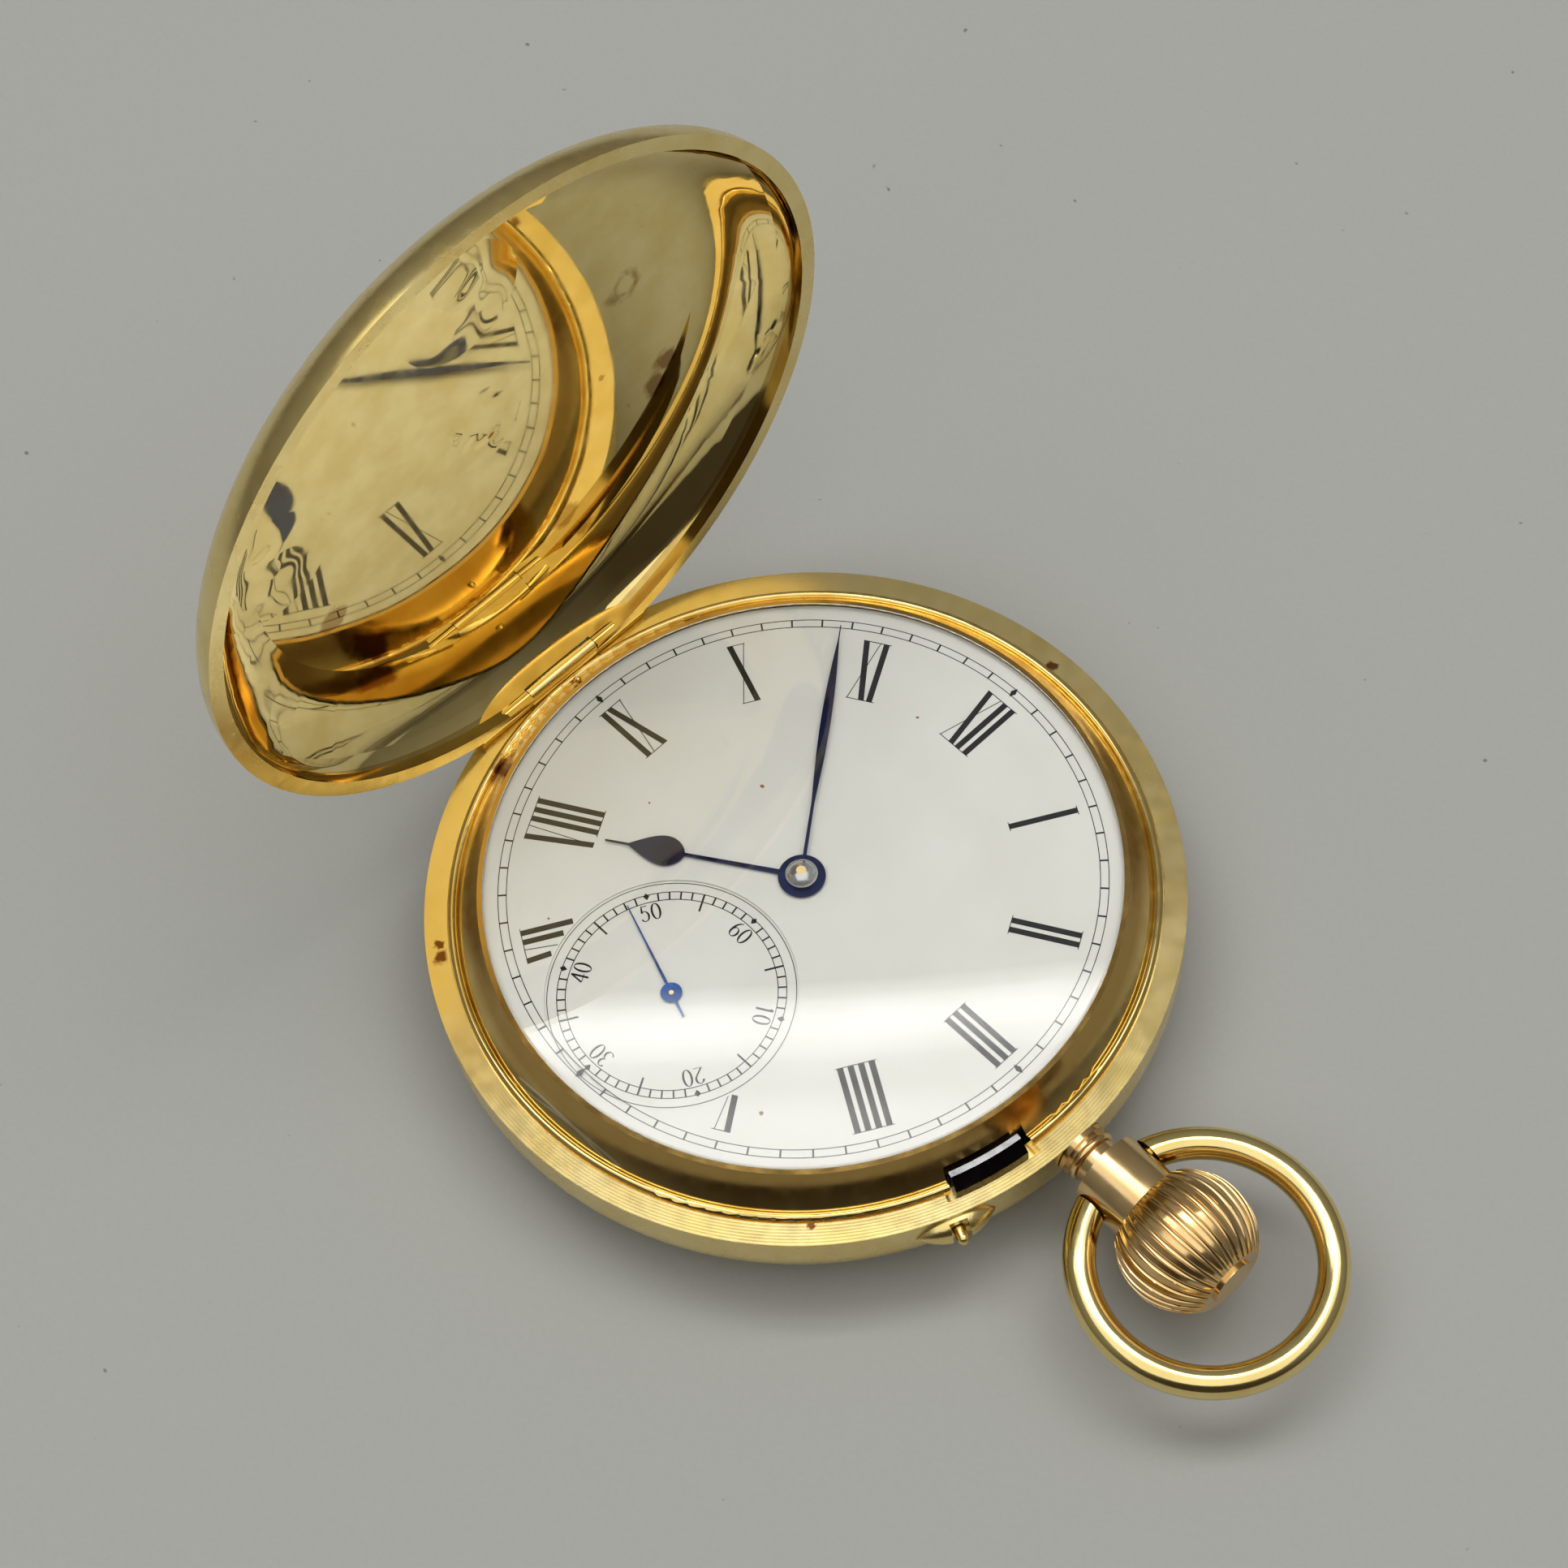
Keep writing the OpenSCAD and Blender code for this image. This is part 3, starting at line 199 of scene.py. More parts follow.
def metal(name, bright, deep, rough, drift, wave=0.0, grain=0.0, stains=(), turned=0.0,
          painted_shade=None, dents=(), scratches_and_glints=()):
    """Metal whose tone and polish drift over the surface"""
    material, tree, shader = new_material(name)
    shader.inputs["Metallic"].default_value = 1
    tone = tree.blend(tree.remap(tree.noise(PATCH), 0.35, 0.65, 0, 1), deep, bright)
    # Painted shade: the tone turns towards a dark colour between two heights
    if painted_shade:
        low, high, colour, most = painted_shade
        tone = tree.blend(tree.remap(tree.height(), low, high, 0, most), tone, colour)
    for place, size, colour in stains:
        tone = tree.blend(tree.spot(place, size, 0.55, 0.35), tone, colour)
    # Lines of a paler colour: scratches with a painted highlight along them
    for start, end, width, colour in scratches_and_glints:
        tone = tree.blend(tree.line(start, end, width), tone, colour)
    tree.join(tone, shader.inputs["Base Color"])
    polish = tree.remap(tree.noise(PATCH * 0.4, 5), 0.3, 0.7, rough - drift, rough + drift)
    tree.join(polish, shader.inputs["Roughness"])
    normal = None
    if wave:
        normal = tree.bump(tree.noise(WAVE, 1), WAVE_DEPTH, wave)
    for place, size, ripple, depth in dents:
        height = tree.calc("MULTIPLY", tree.noise(ripple, 0), tree.spot(place, size, 0.2))
        normal = tree.bump(height, depth, 1, normal)
    if grain:
        normal = tree.bump(tree.noise(GRAIN, 2), FINE_DEPTH, grain, normal)
    if turned:
        normal = tree.bump(tree.rings(TURNED_PITCH), FINE_DEPTH, turned, normal)
    if normal:
        tree.join(normal, shader.inputs["Normal"])
    return material


# Colours shared by several materials
GOLD = (0.88, 0.71, 0.31)
GOLD_DEEP = (0.81, 0.62, 0.23)
# Colour of the painted shade on the bezel's slope
SHADE_BROWN = (0.42, 0.25, 0.07)
STAIN = (0.20, 0.08, 0.02)
SCRATCH_AND_GLINT = (0.95, 0.84, 0.52)
FILM = (0.50, 0.32, 0.10)
DARK_FILM = (0.36, 0.20, 0.05)


def places(level, points):
    """Marks at one level, from their plan positions and sizes in millimetres"""
    return [((x * MM, y * MM, level), size * MM, colour) for x, y, size, colour in points]


# Marks seen on the land, the bezel and the dial
land_stains = places(LAND_Z, [(-13.4, -19.8, 0.60, STAIN), (-14.2, -19.3, 0.42, STAIN),
                              (17.2, -16.0, 0.35, STAIN), (15.8, 16.9, 0.35, STAIN),
                              (-0.4, 23.6, 0.45, STAIN)])
bezel_stains = places(9.0 * MM, [(-20.4, -7.9, 1.2, STAIN), (-21.2, -7.5, 1.0, STAIN),
                                 (1.0, 22.5, 0.5, STAIN)])
dial_specks = places(DIAL_TOP, [(-6.8, 2.9, 0.16, STAIN), (-3.2, 13.7, 0.12, STAIN),
                                (10.2, -13.4, 0.17, STAIN), (-9.6, -13.5, 0.1, STAIN),
                                (-11.2, -3.1, 0.09, STAIN)])

# Scratches on the bezel's slope, from end to end, drawn pale and bright: real scratches with a
# painted highlight along them
bezel_scratches_and_glints = [((x1 * MM, y1 * MM), (x2 * MM, y2 * MM), 0.07 * MM, SCRATCH_AND_GLINT)
                   for x1, y1, x2, y2 in [(-4.5, -22.6, 6.0, -21.7), (-3.2, -22.1, 6.1, -22.0)]]

# Marks inside the open cover, as (y, z, size, colour) in millimetres
LID_X = -27.2 * MM
lid_stains = [((LID_X, y * MM, z * MM), size * MM, colour)
              for y, z, size, colour in [(14.2, 24.2, 1.3, DARK_FILM), (15.2, 25.8, 1.1, DARK_FILM),
                                         (12.7, 36.0, 1.5, FILM), (12.7, 36.0, 1.15, GOLD),
                                         (5.3, 18.0, 1.3, FILM), (-13.4, 26.4, 1.2, FILM),
                                         (9.9, 28.9, 0.35, FILM), (6.5, 15.5, 0.9, FILM)]]
# Dents inside the cover, as (y, z, size, ripple, depth) in millimetres
lid_dents = [((LID_X, y * MM, z * MM), size * MM, ripple * MM, depth * MM)
             for y, z, size, ripple, depth in [(0.5, 45.8, 4.6, 3.0, 0.15),
                                               (-16.5, 35.5, 4.5, 3.0, 0.14),
                                               (0.0, 33.3, 3.5, 1.2, 0.10)]]


def enamel_material():
    material, tree, shader = new_material("enamel")
    mottle = tree.remap(tree.noise(6 * MM), 0.3, 0.7, 0, 1)
    tone = tree.blend(mottle, (0.59, 0.585, 0.54), (0.62, 0.62, 0.585))
    for place, size, colour in dial_specks:
        tone = tree.blend(tree.spot(place, size, 0.6, 0.3), tone, colour)
    tree.join(tone, shader.inputs["Base Color"])
    polish = tree.remap(tree.noise(1.5 * MM), 0.3, 0.7, 0.12, 0.22)
    tree.join(polish, shader.inputs["Roughness"])
    return material


def ink_material():
    material, tree, shader = new_material("ink")
    tone = tree.blend(tree.noise(0.6 * MM), (0.004, 0.004, 0.005), (0.012, 0.012, 0.013))
    tree.join(tone, shader.inputs["Base Color"])
    tree.join(tree.remap(tree.noise(0.4 * MM), 0.3, 0.7, 0.35, 0.5), shader.inputs["Roughness"])
    shader.inputs["Specular IOR Level"].default_value = 0.15
    return material


def crystal_material():
    """Clear glass that lets lamps light what lies under it"""
    material, tree, shader = new_material("crystal")
    shader.inputs["Transmission Weight"].default_value = 1
    shader.inputs["IOR"].default_value = 1.4
    tree.join(tree.blend(tree.noise(9 * MM), (0.985, 0.99, 0.985), (1, 1, 1)),
              shader.inputs["Base Color"])
    tree.join(tree.remap(tree.noise(2 * MM), 0.45, 0.75, 0.0, 0.02), shader.inputs["Roughness"])
    clear = tree.node("BsdfTransparent")
    path = tree.node("LightPath")
    either = tree.node("MixShader")
    tree.join(path.outputs["Is Shadow Ray"], either.inputs["Fac"])
    tree.join(shader.outputs["BSDF"], either.inputs[1])
    tree.join(clear.outputs["BSDF"], either.inputs[2])
    tree.join(either.outputs["Shader"], tree.tree.nodes["Material Output"].inputs["Surface"])
    return material


def ruby_material():
    material, tree, shader = new_material("ruby")
    tone = tree.blend(tree.noise(0.5 * MM), (0.45, 0.02, 0.08), (0.62, 0.05, 0.14))
    tree.join(tone, shader.inputs["Base Color"])
    tree.join(tree.remap(tree.noise(0.5 * MM), 0.3, 0.7, 0.05, 0.12), shader.inputs["Roughness"])
    shader.inputs["Coat Weight"].default_value = 0.4
    return material


M = {
    "mirror_gold": metal("mirror_gold", GOLD, GOLD_DEEP, 0.035, 0.02, wave=0.1,
                         stains=lid_stains, dents=lid_dents),
    "polished_gold": metal("polished_gold", GOLD, GOLD_DEEP, 0.13, 0.04, wave=0.05),
    "worn_gold": metal("worn_gold", GOLD, GOLD_DEEP, 0.25, 0.05, grain=0.06),
    # Darker copy of the gold: painted shade for the open cover's inner wall
    "shaded_wall_gold": metal("shaded_wall_gold", (0.66, 0.47, 0.15), (0.52, 0.34, 0.09), 0.10, 0.03, wave=0.05),
    "satin_gold": metal("satin_gold", (0.84, 0.66, 0.30), GOLD_DEEP, 0.20, 0.025, turned=0.06,
                        stains=land_stains),
    # The bezel's brown towards the top of its slope is painted shade
    "bezel_gold": metal("bezel_gold", (0.84, 0.65, 0.27), (0.72, 0.52, 0.18), 0.15, 0.05,
                        wave=0.05, painted_shade=(8.3 * MM, 9.3 * MM, SHADE_BROWN, 0.85),
                        stains=bezel_stains, scratches_and_glints=bezel_scratches_and_glints),
    "rose_gold": metal("rose_gold", (0.84, 0.61, 0.30), (0.72, 0.47, 0.20), 0.18, 0.05, grain=0.05),
    "gilt": metal("gilt", (0.87, 0.68, 0.34), (0.80, 0.60, 0.27), 0.33, 0.06, grain=0.3),
    "steel": metal("steel", (0.62, 0.62, 0.63), (0.54, 0.54, 0.56), 0.22, 0.06, grain=0.1),
    "blued": metal("blued", (0.022, 0.035, 0.14), (0.012, 0.018, 0.07), 0.22, 0.05),
    "dark_steel": metal("dark_steel", (0.045, 0.035, 0.05), (0.02, 0.016, 0.022), 0.25, 0.05),
    "blue_bright": metal("blue_bright", (0.06, 0.14, 0.42), (0.03, 0.07, 0.26), 0.25, 0.05),
    "enamel": enamel_material(),
    "ink": ink_material(),
    "crystal": crystal_material(),
    "ruby": ruby_material(),
}


# Materials of the CAD nodes
NODE_MATERIALS = {
    "worn_gold": ["case_band", "back_cover", "front_hinge_pin", "back_hinge_pin",
                  "set_button", "button_guard", "balance_screws"],
    "polished_gold": ["cuvette", "bow"],
    "bezel_gold": ["bezel"],
    "rose_gold": ["pendant", "crown"],
    "gilt": ["main_plate", "barrel_bridge", "train_bridge", "balance_cock", "pallet_cock",
             "barrel_drum", "barrel_cover", "balance_wheel", "centre_wheel", "third_wheel",
             "fourth_wheel", "minute_wheel", "hour_wheel"],
    "dark_steel": ["lock_spring"],
    "blued": ["lift_spring", "plate_screws", "hairspring", "hour_hand",
              "minute_hand"],
    "blue_bright": ["seconds_hand"],
    "steel": ["pendant_sleeve", "stem", "winding_pinion", "setting_lever", "case_screws",
              "cannon_pinion", "barrel_arbor", "mainspring", "ratchet_wheel", "ratchet_screw",
              "click", "click_spring", "crown_wheel", "crown_wheel_screw", "escape_wheel",
              "pallet_lever", "balance_staff", "roller", "hairspring_stud", "regulator_index"],
    "enamel": ["dial"],
    "crystal": ["crystal"],
    "ruby": ["jewels", "pallet_jewels", "end_jewel"],
    "mirror_gold": ["front_cover"],
}
for material_name, members in NODE_MATERIALS.items():
    for member in members:
        mesh = nodes[member].data
        mesh.materials.clear()
        mesh.materials.append(M[material_name])


def repaint(node, material, chosen):
    """Gives another material to the faces that chosen(centre, normal) picks"""
    mesh = nodes[node].data
    mesh.materials.append(M[material])
    number = len(mesh.materials) - 1
    for face in mesh.polygons:
        if chosen(face.center, face.normal):
            face.material_index = number


# The open cover is bright inside and worn outside, and its inner wall takes a darker amber copy of
# the gold as painted shade
hinge = Vector(joints["front_cover_hinge"]["pos_m"])
open_turn = math.radians(joints["front_cover_hinge"]["range_deg"][1])
lid_place = (Matrix.Translation(hinge) @ Matrix.Rotation(-open_turn, 4, "Y")
             @ Matrix.Translation(-hinge))
lid_centre = lid_place @ Vector((0, 0, LAND_Z))
repaint("front_cover", "worn_gold",
        lambda centre, normal: (centre - lid_centre).dot(normal) > -0.2 * MM)
repaint("front_cover", "shaded_wall_gold",
        lambda centre, normal: (centre - lid_centre).dot(normal) < -0.2 * MM
        and abs(normal.x) < 0.5)
# The land is turned, the catch's top face is bright steel as a painted highlight, and the minute
# hand has a bright boss
BOSS_RADIUS = 1.06 * MM
repaint("case_band", "satin_gold",
        lambda centre, normal: normal.z > 0.99 and centre.z > LAND_Z - 0.03 * MM)
# Painted highlight: bright steel on the top face of the dark catch
repaint("lock_spring", "steel",
        lambda centre, normal: normal.z > 0.95 and centre.z > NOSE_TOP - 0.02 * MM)
repaint("minute_hand", "steel",
        lambda centre, normal: normal.z > 0.9 and math.hypot(centre.x, centre.y) < BOSS_RADIUS)


class Shape:
    """Gathers closed solids into one mesh"""

    def __init__(self):
        self.mesh = bmesh.new()

    def loop(self, points):
        return [self.mesh.verts.new(point) for point in points]

    def prism(self, outline, low, high):
        """Upright prism over a flat outline"""
        under = self.loop([(x, y, low) for x, y in outline])
        over = self.loop([(x, y, high) for x, y in outline])
        self.mesh.faces.new(over)
        self.mesh.faces.new(under[::-1])
        self.skin([under, over])

    def skin(self, loops, closed=False):
        """Joins loops of the same length by quads"""
        pairs = list(zip(loops, loops[1:]))
        if closed:
            pairs.append((loops[-1], loops[0]))
        for lower, upper in pairs:
            for i in range(len(lower)):
                j = (i + 1) % len(lower)
                self.mesh.faces.new((lower[i], lower[j], upper[j], upper[i]))

    def lathe(self, profile, steps=256, centre=(0, 0)):
        """Turns a closed profile of radius and height about a vertical axis"""
        loops = []
        for i in range(steps):
            turn = 2 * math.pi * i / steps
            loops.append(self.loop([(centre[0] + r * math.cos(turn),
                                     centre[1] + r * math.sin(turn), z) for r, z in profile]))
        self.skin(loops, closed=True)

    def ring(self, inner, outer, low, high, centre=(0, 0), steps=256):
        """Flat ring between two radii and two heights"""
        self.lathe([(inner, low), (outer, low), (outer, high), (inner, high)], steps, centre)


def piece(name, shape, body, material, sharp=35):
    """Makes a shape into a named object that rides on a body"""
    mesh = bpy.data.meshes.new(name)
    bmesh.ops.remove_doubles(shape.mesh, verts=shape.mesh.verts, dist=1e-7)
    bmesh.ops.recalc_face_normals(shape.mesh, faces=shape.mesh.faces)
    shape.mesh.to_mesh(mesh)
    shape.mesh.free()
    mesh.shade_smooth()
    mesh.set_sharp_from_angle(angle=math.radians(sharp))
    mesh.materials.append(M[material])
    obj = bpy.data.objects.new(name, mesh)
    bpy.context.scene.collection.objects.link(obj)
    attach(obj, body)
    return obj


# Printing on the dial: levels of the ink, radii of the minute track and numerals, and widths
INK = (DIAL_TOP - 0.004 * MM, DIAL_TOP + 0.012 * MM)
SUNK_INK = (DIAL_TOP - SUNK_DIAL - 0.004 * MM, DIAL_TOP - SUNK_DIAL + 0.012 * MM)
TRACK = (19.2 * MM, 19.75 * MM)
HAIR = 0.055 * MM
NUMERAL = (13.85 * MM, 18.45 * MM)
STROKE = 0.40 * MM
PITCH = 0.68 * MM
LETTER = 1.25 * MM
TICK = 0.12 * MM
DIAMOND = (0.2 * MM, 0.42 * MM)
LEAN = 0.42 * MM
HAIR_LEAN = LEAN * 1.3
SECONDS_CLEAR = 8.2 * MM
CUT_STEPS = 60


def on_dial(angle, points, centre=(0, 0)):
    """Turns points of (across, outwards) to a clock angle in degrees"""
    a = math.radians(angle)
    return [(centre[0] + x * math.cos(a) + y * math.sin(a),
             centre[1] - x * math.sin(a) + y * math.cos(a)) for x, y in points]


def slant(x_low, x_high, low, high, width):
    """Outline of a stroke between two heights, level at both ends"""
    return [(x_low - width / 2, low), (x_low + width / 2, low), (x_high + width / 2, high),
            (x_high - width / 2, high)]


def bar(x, low, high, width):
    return slant(x, x, low, high, width)


def minute_track():
    track = Shape()
    for radius in TRACK:
        track.ring(radius - HAIR / 2, radius + HAIR / 2, *INK)
    for minute in range(60):
        if minute % 15:
            tick = bar(0, TRACK[0] - 0.03 * MM, TRACK[1] + 0.03 * MM, TICK)
            track.prism(on_dial(minute * 6, tick), *INK)
        else:
            middle = sum(TRACK) / 2
            wide, tall = DIAMOND
            diamond = [(0, middle - tall), (wide, middle), (0, middle + tall), (-wide, middle)]
            track.prism(on_dial(minute * 6, diamond), *INK)
    return track


def numeral_strokes(text):
    """Strokes of a Roman numeral as (across at the foot, across at the top, width), and its serifs
    as (left, right, level)"""
    widths = {"I": PITCH, "V": LETTER, "X": LETTER}
    foot, top = NUMERAL
    strokes = []
    serifs = []
    across = -sum(widths[letter] for letter in text) / 2
    for letter in text:
        middle = across + widths[letter] / 2
        reach = widths[letter] / 2
        if letter == "I":
            strokes.append((middle, middle, STROKE))
        if letter == "V":
            strokes.append((middle, middle - LEAN, STROKE))
            strokes.append((middle, middle + LEAN, HAIR))
        if letter == "X":
            strokes.append((middle + LEAN, middle - LEAN, STROKE))
            strokes.append((middle - HAIR_LEAN, middle + HAIR_LEAN, HAIR))
        if letter != "V":
            serifs.append((middle - reach, middle + reach, foot))
        serifs.append((middle - reach, middle + reach, top))
        across += widths[letter]
    return strokes, serifs


def clear_of_seconds(outline):
    """True if an outline stays outside the seconds dial"""
    return all(math.dist(point, SECONDS_CENTRE) > SECONDS_CLEAR for point in outline)


def cut_short(angle, x_low, x_high, width):
    """Raises a stroke's foot until it stays outside the seconds dial"""
    low, high = NUMERAL
    for step in range(CUT_STEPS):
        share = step / CUT_STEPS
        foot = low + (high - low) * share
        x_foot = x_low + (x_high - x_low) * share
        outline = on_dial(angle, slant(x_foot, x_high, foot, high, width))
        if clear_of_seconds(outline):
            return outline
    return None


def numerals():
    print_shape = Shape()
    names = {0: "XII", 1: "I", 2: "II", 3: "III", 4: "IIII", 5: "V", 7: "VII", 8: "VIII",
             9: "IX", 10: "X", 11: "XI"}
    for hour, text in names.items():
        strokes, serifs = numeral_strokes(text)
        for x_low, x_high, width in strokes:
            outline = cut_short(hour * 30, x_low, x_high, width)
            if outline:
                print_shape.prism(outline, *INK)
        for left, right, level in serifs:
            low, high = level - HAIR / 2, level + HAIR / 2
            outline = on_dial(hour * 30, [(left, low), (right, low), (right, high), (left, high)])
            if clear_of_seconds(outline):
                print_shape.prism(outline, *INK)
    return print_shape


piece("minute_track", minute_track(), "case", "ink")
piece("hour_numerals", numerals(), "case", "ink")


# Printing on the seconds dial: its rim, its rail, the marks and the digits
SECONDS_RIM = (7.98 * MM, 0.05 * MM)
SECONDS_RAIL = (6.8 * MM, 7.35 * MM)
SECOND_TICK = 0.11 * MM
FIVE_TICK = (6.1 * MM, 0.13 * MM)
TEN_DIAMOND = (0.2 * MM, 0.35 * MM, 0.08 * MM, 0.16 * MM)
DIGIT_THIN = 0.05 * MM
DIGIT_THICK = 0.14 * MM
DIGIT_FEET = 5.5 * MM
DIGIT_TALL = 1.15 * MM
DIGIT_WIDE = 0.62 * MM
DIGIT_PLACES = (-0.68 * MM, 0.06 * MM)


def ribbon(points, widths):
    """Outline of a stroke through points, with a width at each"""
    left, right = [], []
    for i, (x, y) in enumerate(points):
        ax, ay = points[max(i - 1, 0)]
        bx, by = points[min(i + 1, len(points) - 1)]
        span = math.hypot(bx - ax, by - ay)
        nx, ny = (ay - by) / span, (bx - ax) / span
        half = widths[i] / 2
        left.append((x + nx * half, y + ny * half))
        right.append((x - nx * half, y - ny * half))
    return left, right


def arc(x, y, wide, tall, start, end, steps=14):
    """Points of a stretch of an ellipse, from start to end in degrees"""
    turns = [math.radians(start + (end - start) * i / steps) for i in range(steps + 1)]
    return [(x + wide * math.cos(t), y + tall * math.sin(t)) for t in turns]


# Strokes of the digits in a box 1 wide and 1 tall
DIGITS = {
    "0": [arc(0.5, 0.5, 0.42, 0.5, 90, 450, 28)],
    "1": [[(0.5, 0), (0.5, 1)], [(0.5, 1), (0.3, 0.85)]],
    "2": [arc(0.48, 0.72, 0.38, 0.28, 170, -40) + [(0.1, 0.04), (0.9, 0.04)]],
    "3": [arc(0.45, 0.76, 0.36, 0.24, 150, -90), arc(0.45, 0.27, 0.42, 0.27, 90, -150)],
    "4": [[(0.72, 0), (0.72, 1)], [(0.72, 1), (0.05, 0.3)], [(0.05, 0.3), (1, 0.3)]],
    "5": [[(0.85, 0.97), (0.28, 0.97), (0.22, 0.55)],
          arc(0.45, 0.32, 0.42, 0.32, 125, -150)],
    "6": [arc(0.5, 0.3, 0.4, 0.3, 90, 450, 24), arc(0.8, 0.4, 0.7, 0.6, 185, 100)],
}


def digit(shape, name, left, angle):
    """Prints a digit whose upright strokes are the thick ones"""
    for stroke in DIGITS[name]:
        points = [(left + x * DIGIT_WIDE, DIGIT_FEET + y * DIGIT_TALL) for x, y in stroke]
        widths = []
        for i in range(len(points)):
            ax, ay = points[max(i - 1, 0)]
            bx, by = points[min(i + 1, len(points) - 1)]
            upright = abs(by - ay) / math.hypot(bx - ax, by - ay)
            widths.append(DIGIT_THIN + (DIGIT_THICK - DIGIT_THIN) * upright ** 3)
        one, other = ribbon(points, widths)
        for i in range(len(points) - 1):
            quad = on_dial(angle, [one[i], one[i + 1], other[i + 1], other[i]], SECONDS_CENTRE)
            shape.prism(quad, *SUNK_INK)


def seconds_track():
    track = Shape()
    rings = [SECONDS_RIM] + [(radius, HAIR) for radius in SECONDS_RAIL]
    for radius, width in rings:
        track.ring(radius - width / 2, radius + width / 2, *SUNK_INK, SECONDS_CENTRE)
    for second in range(60):
        inner, top = SECONDS_RAIL
        if second % 10 == 0:
            wide, low, middle, high = TEN_DIAMOND
            mark = [(0, top - low), (wide, top - middle), (0, top + high), (-wide, top - middle)]
        elif second % 10 == 5:
            mark = bar(0, FIVE_TICK[0], top, FIVE_TICK[1])
        else:
            mark = bar(0, inner, top, SECOND_TICK)
        track.prism(on_dial(second * 6, mark, SECONDS_CENTRE), *SUNK_INK)
    for tens in range(10, 70, 10):
        for name, left in zip(str(tens), DIGIT_PLACES):
            digit(track, name, left, tens * 6)
    return track


piece("seconds_track", seconds_track(), "case", "ink")


def bead(place, radius):
    """Small ball"""
    shape = Shape()
    bmesh.ops.create_uvsphere(shape.mesh, u_segments=32, v_segments=16, radius=radius,
                              matrix=Matrix.Translation(place))
    return shape


# Bright bead on the bezel beside the front hinge
BEAD_PLACE = (-22.11 * MM, 0.31 * MM, 9.1 * MM)
BEAD_RADIUS = 0.22 * MM
piece("hinge_bead", bead(BEAD_PLACE, BEAD_RADIUS), "case", "polished_gold")


# Floor just under the case, as wide as the room
FLOOR_SIZE = 6
FLOOR_Z = -0.02 * MM


def make_floor():
    bpy.ops.mesh.primitive_plane_add(size=FLOOR_SIZE, location=(0, 0, FLOOR_Z))
    floor = bpy.context.object
    floor.name = "floor"
    material, tree, shader = new_material("floor")
    tone = tree.blend(tree.noise(0.4 * MM, 4), (0.47, 0.475, 0.455), (0.51, 0.515, 0.495))
    specks = tree.remap(tree.noise(1.1 * MM, 1), 0.79, 0.83, 0, 0.7)
    tone = tree.blend(specks, tone, (0.10, 0.10, 0.09))
    tree.join(tone, shader.inputs["Base Color"])
    shader.inputs["Roughness"].default_value = 0.8
    shader.inputs["Specular IOR Level"].default_value = 0.2
    floor.data.materials.append(material)


# Directions level with the floor: away from the camera, and along the bright edge overhead
AWAY = Vector((-0.793, 0.610, 0))
ALONG = Vector((0.610, 0.793, 0))


def make_world():
    """Dim room, darker low down on the camera's side"""
    world = bpy.data.worlds.new("room")
    bpy.context.scene.world = world
    tree = Tree(world)
    background = tree.tree.nodes["Background"]
    direction = tree.node("TexCoord").outputs["Generated"]
    split = tree.node("SeparateXYZ")
    tree.join(direction, split.inputs[0])
    ramp = tree.node("ValToRGB")
    ramp.color_ramp.elements[0].position = 0.0
    ramp.color_ramp.elements[0].color = (0.14, 0.132, 0.12, 1)
    ramp.color_ramp.elements[1].position = 0.8
    ramp.color_ramp.elements[1].color = (0.255, 0.255, 0.245, 1)
    tree.join(split.outputs["Z"], ramp.inputs["Fac"])
    towards = tree.node("VectorMath", operation="DOT_PRODUCT")
    tree.join(direction, towards.inputs[0])
    towards.inputs[1].default_value = -AWAY
    near = tree.remap(towards.outputs["Value"], 0.35, 0.8, 0, 1)
    room = tree.blend(near, ramp.outputs["Color"], (0.045, 0.038, 0.03))
    tree.join(room, background.inputs["Color"])
    background.inputs["Strength"].default_value = 1


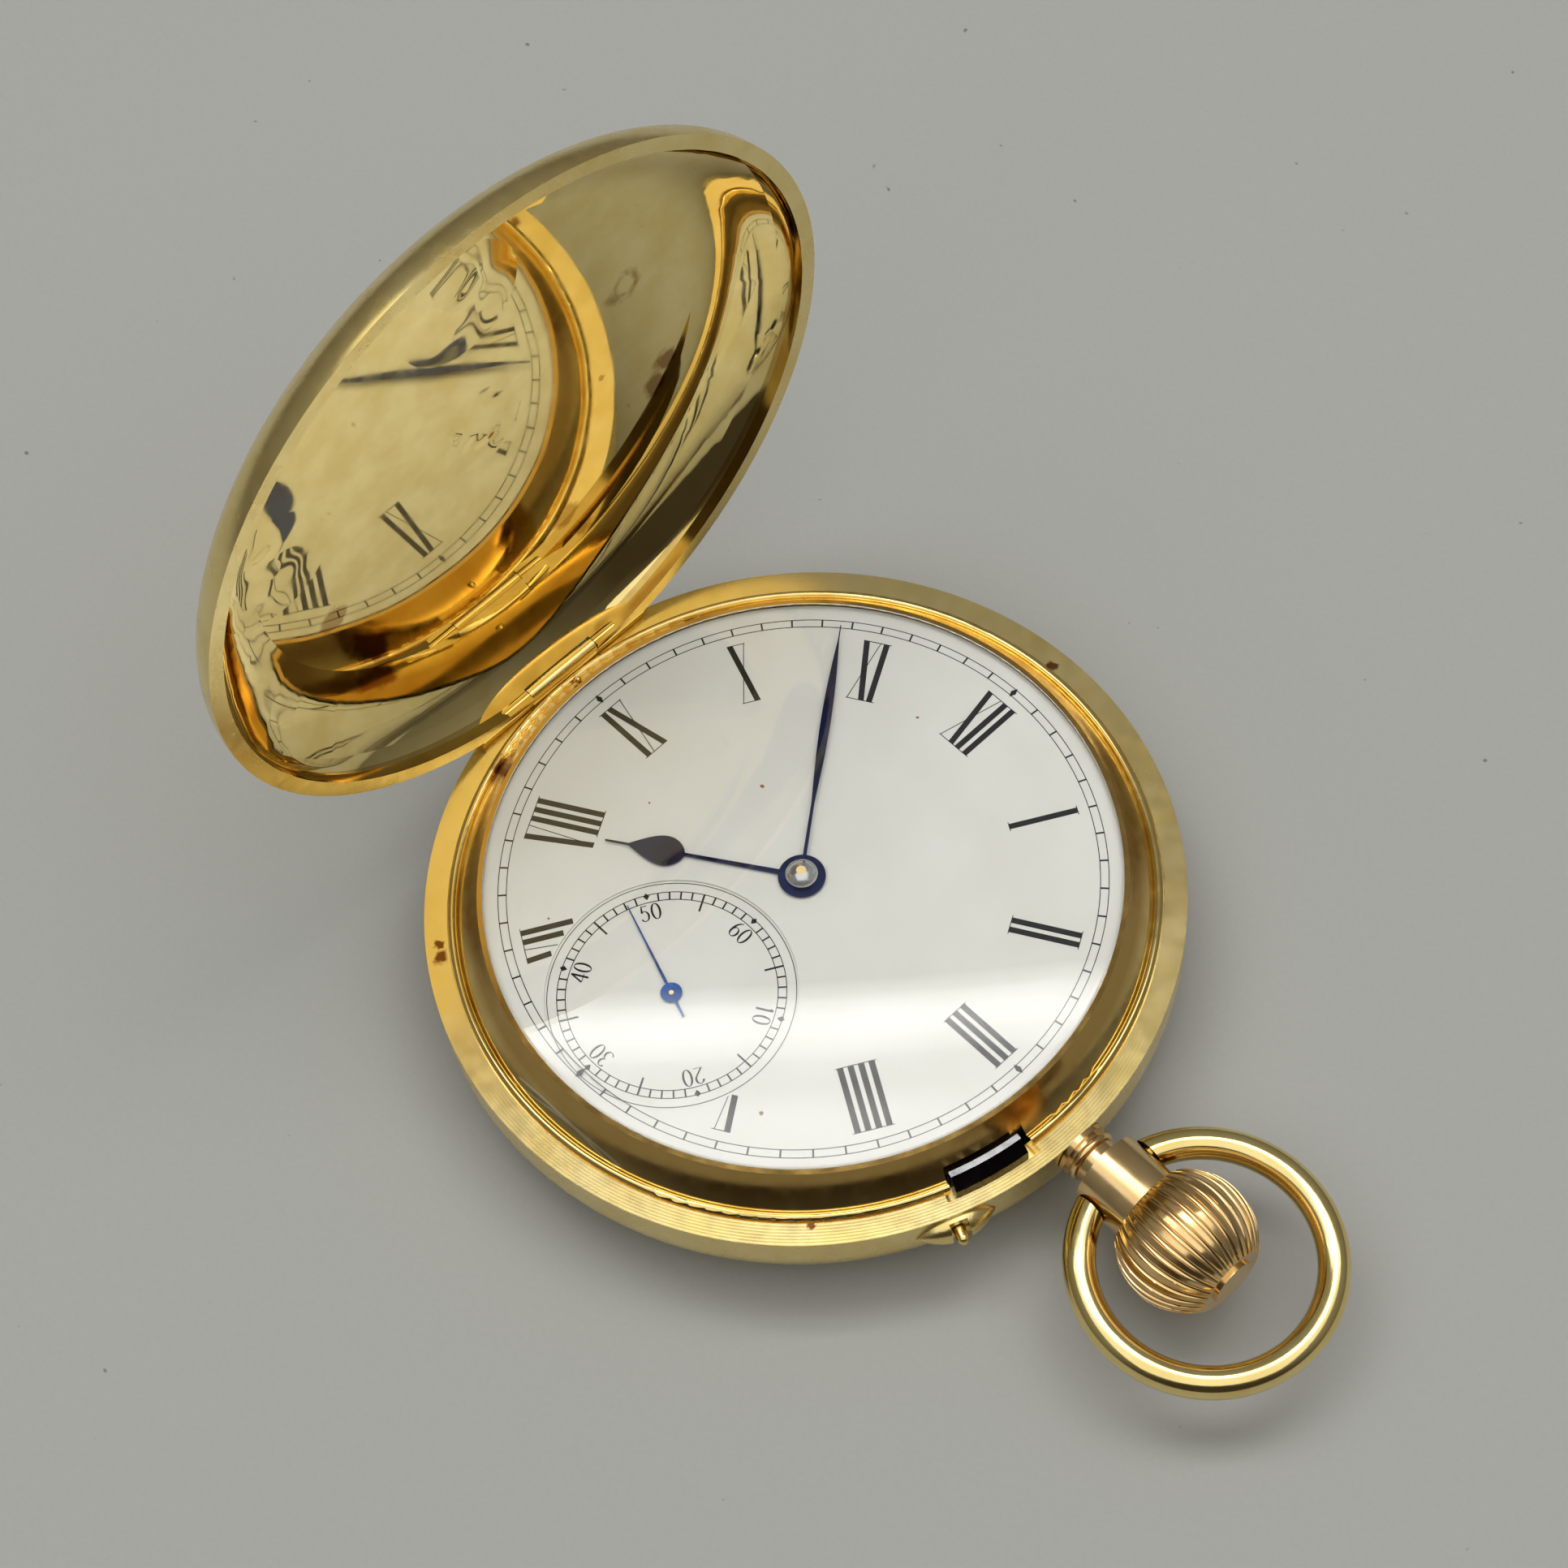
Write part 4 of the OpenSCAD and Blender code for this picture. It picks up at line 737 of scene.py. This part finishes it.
# Height of the ceiling, and its glow by how far it lies away from the camera's side. The second
# glow holds in the middle, where the lamp hangs. Distances are shares of the height. The bright
# edge swings away to both sides by a curve and a slant.
CEILING = 0.8
GLOW = [(-0.95, 1.13, 1.13), (0.0, 1.13, 1.13), (0.08, 1.13, 3.3), (0.15, 1.13, 5.0),
        (0.185, 1.13, 3.6), (0.225, 1.13, 2.0), (0.25, 1.4, 3.8), (0.27, 2.3, 6.6),
        (0.31, 2.3, 6.6), (0.345, 0.0, 0.0)]
LAMP_HALF = (0.40, 0.52)
GLOW_HALF = 0.85
GLOW_STEPS = 34
SWING_CURVE = 0.35
SWING_REACH = 0.16
SWING_SLANT = 0.08


def make_ceiling():
    """Soft light overhead, brightest along its far edge, which the crystal mirrors"""
    points, glow, faces = [], [], []
    for i in range(GLOW_STEPS + 1):
        side = GLOW_HALF * (2 * i / GLOW_STEPS - 1)
        swing = SWING_CURVE * min(side * side, SWING_REACH) - SWING_SLANT * side
        share = (LAMP_HALF[1] - abs(side)) / (LAMP_HALF[1] - LAMP_HALF[0])
        share = max(0, min(1, share))
        for away, dim, strong in GLOW:
            reach = away + swing if away > 0 else away
            points.append((AWAY * reach + ALONG * side) * CEILING + Vector((0, 0, CEILING)))
            glow.append(dim + (strong - dim) * share)
    row = len(GLOW)
    for i in range(GLOW_STEPS):
        for j in range(row - 1):
            first = i * row + j
            faces.append((first, first + 1, first + row + 1, first + row))
    mesh = bpy.data.meshes.new("ceiling")
    mesh.from_pydata(points, [], faces)
    levels = mesh.attributes.new("glow", "FLOAT", "POINT")
    levels.data.foreach_set("value", glow)
    panel = bpy.data.objects.new("ceiling", mesh)
    bpy.context.scene.collection.objects.link(panel)
    panel.visible_camera = False
    material = bpy.data.materials.new("ceiling")
    tree = Tree(material)
    tree.tree.nodes.clear()
    light = tree.node("Emission")
    level = tree.node("Attribute", attribute_name="glow")
    tree.join(level.outputs["Fac"], light.inputs["Strength"])
    light.inputs["Color"].default_value = (1.0, 0.995, 0.975, 1)
    output = tree.node("OutputMaterial")
    tree.join(light.outputs[0], output.inputs["Surface"])
    mesh.materials.append(material)


make_camera()
make_floor()
make_world()
make_ceiling()
bpy.context.scene.view_settings.view_transform = "Standard"
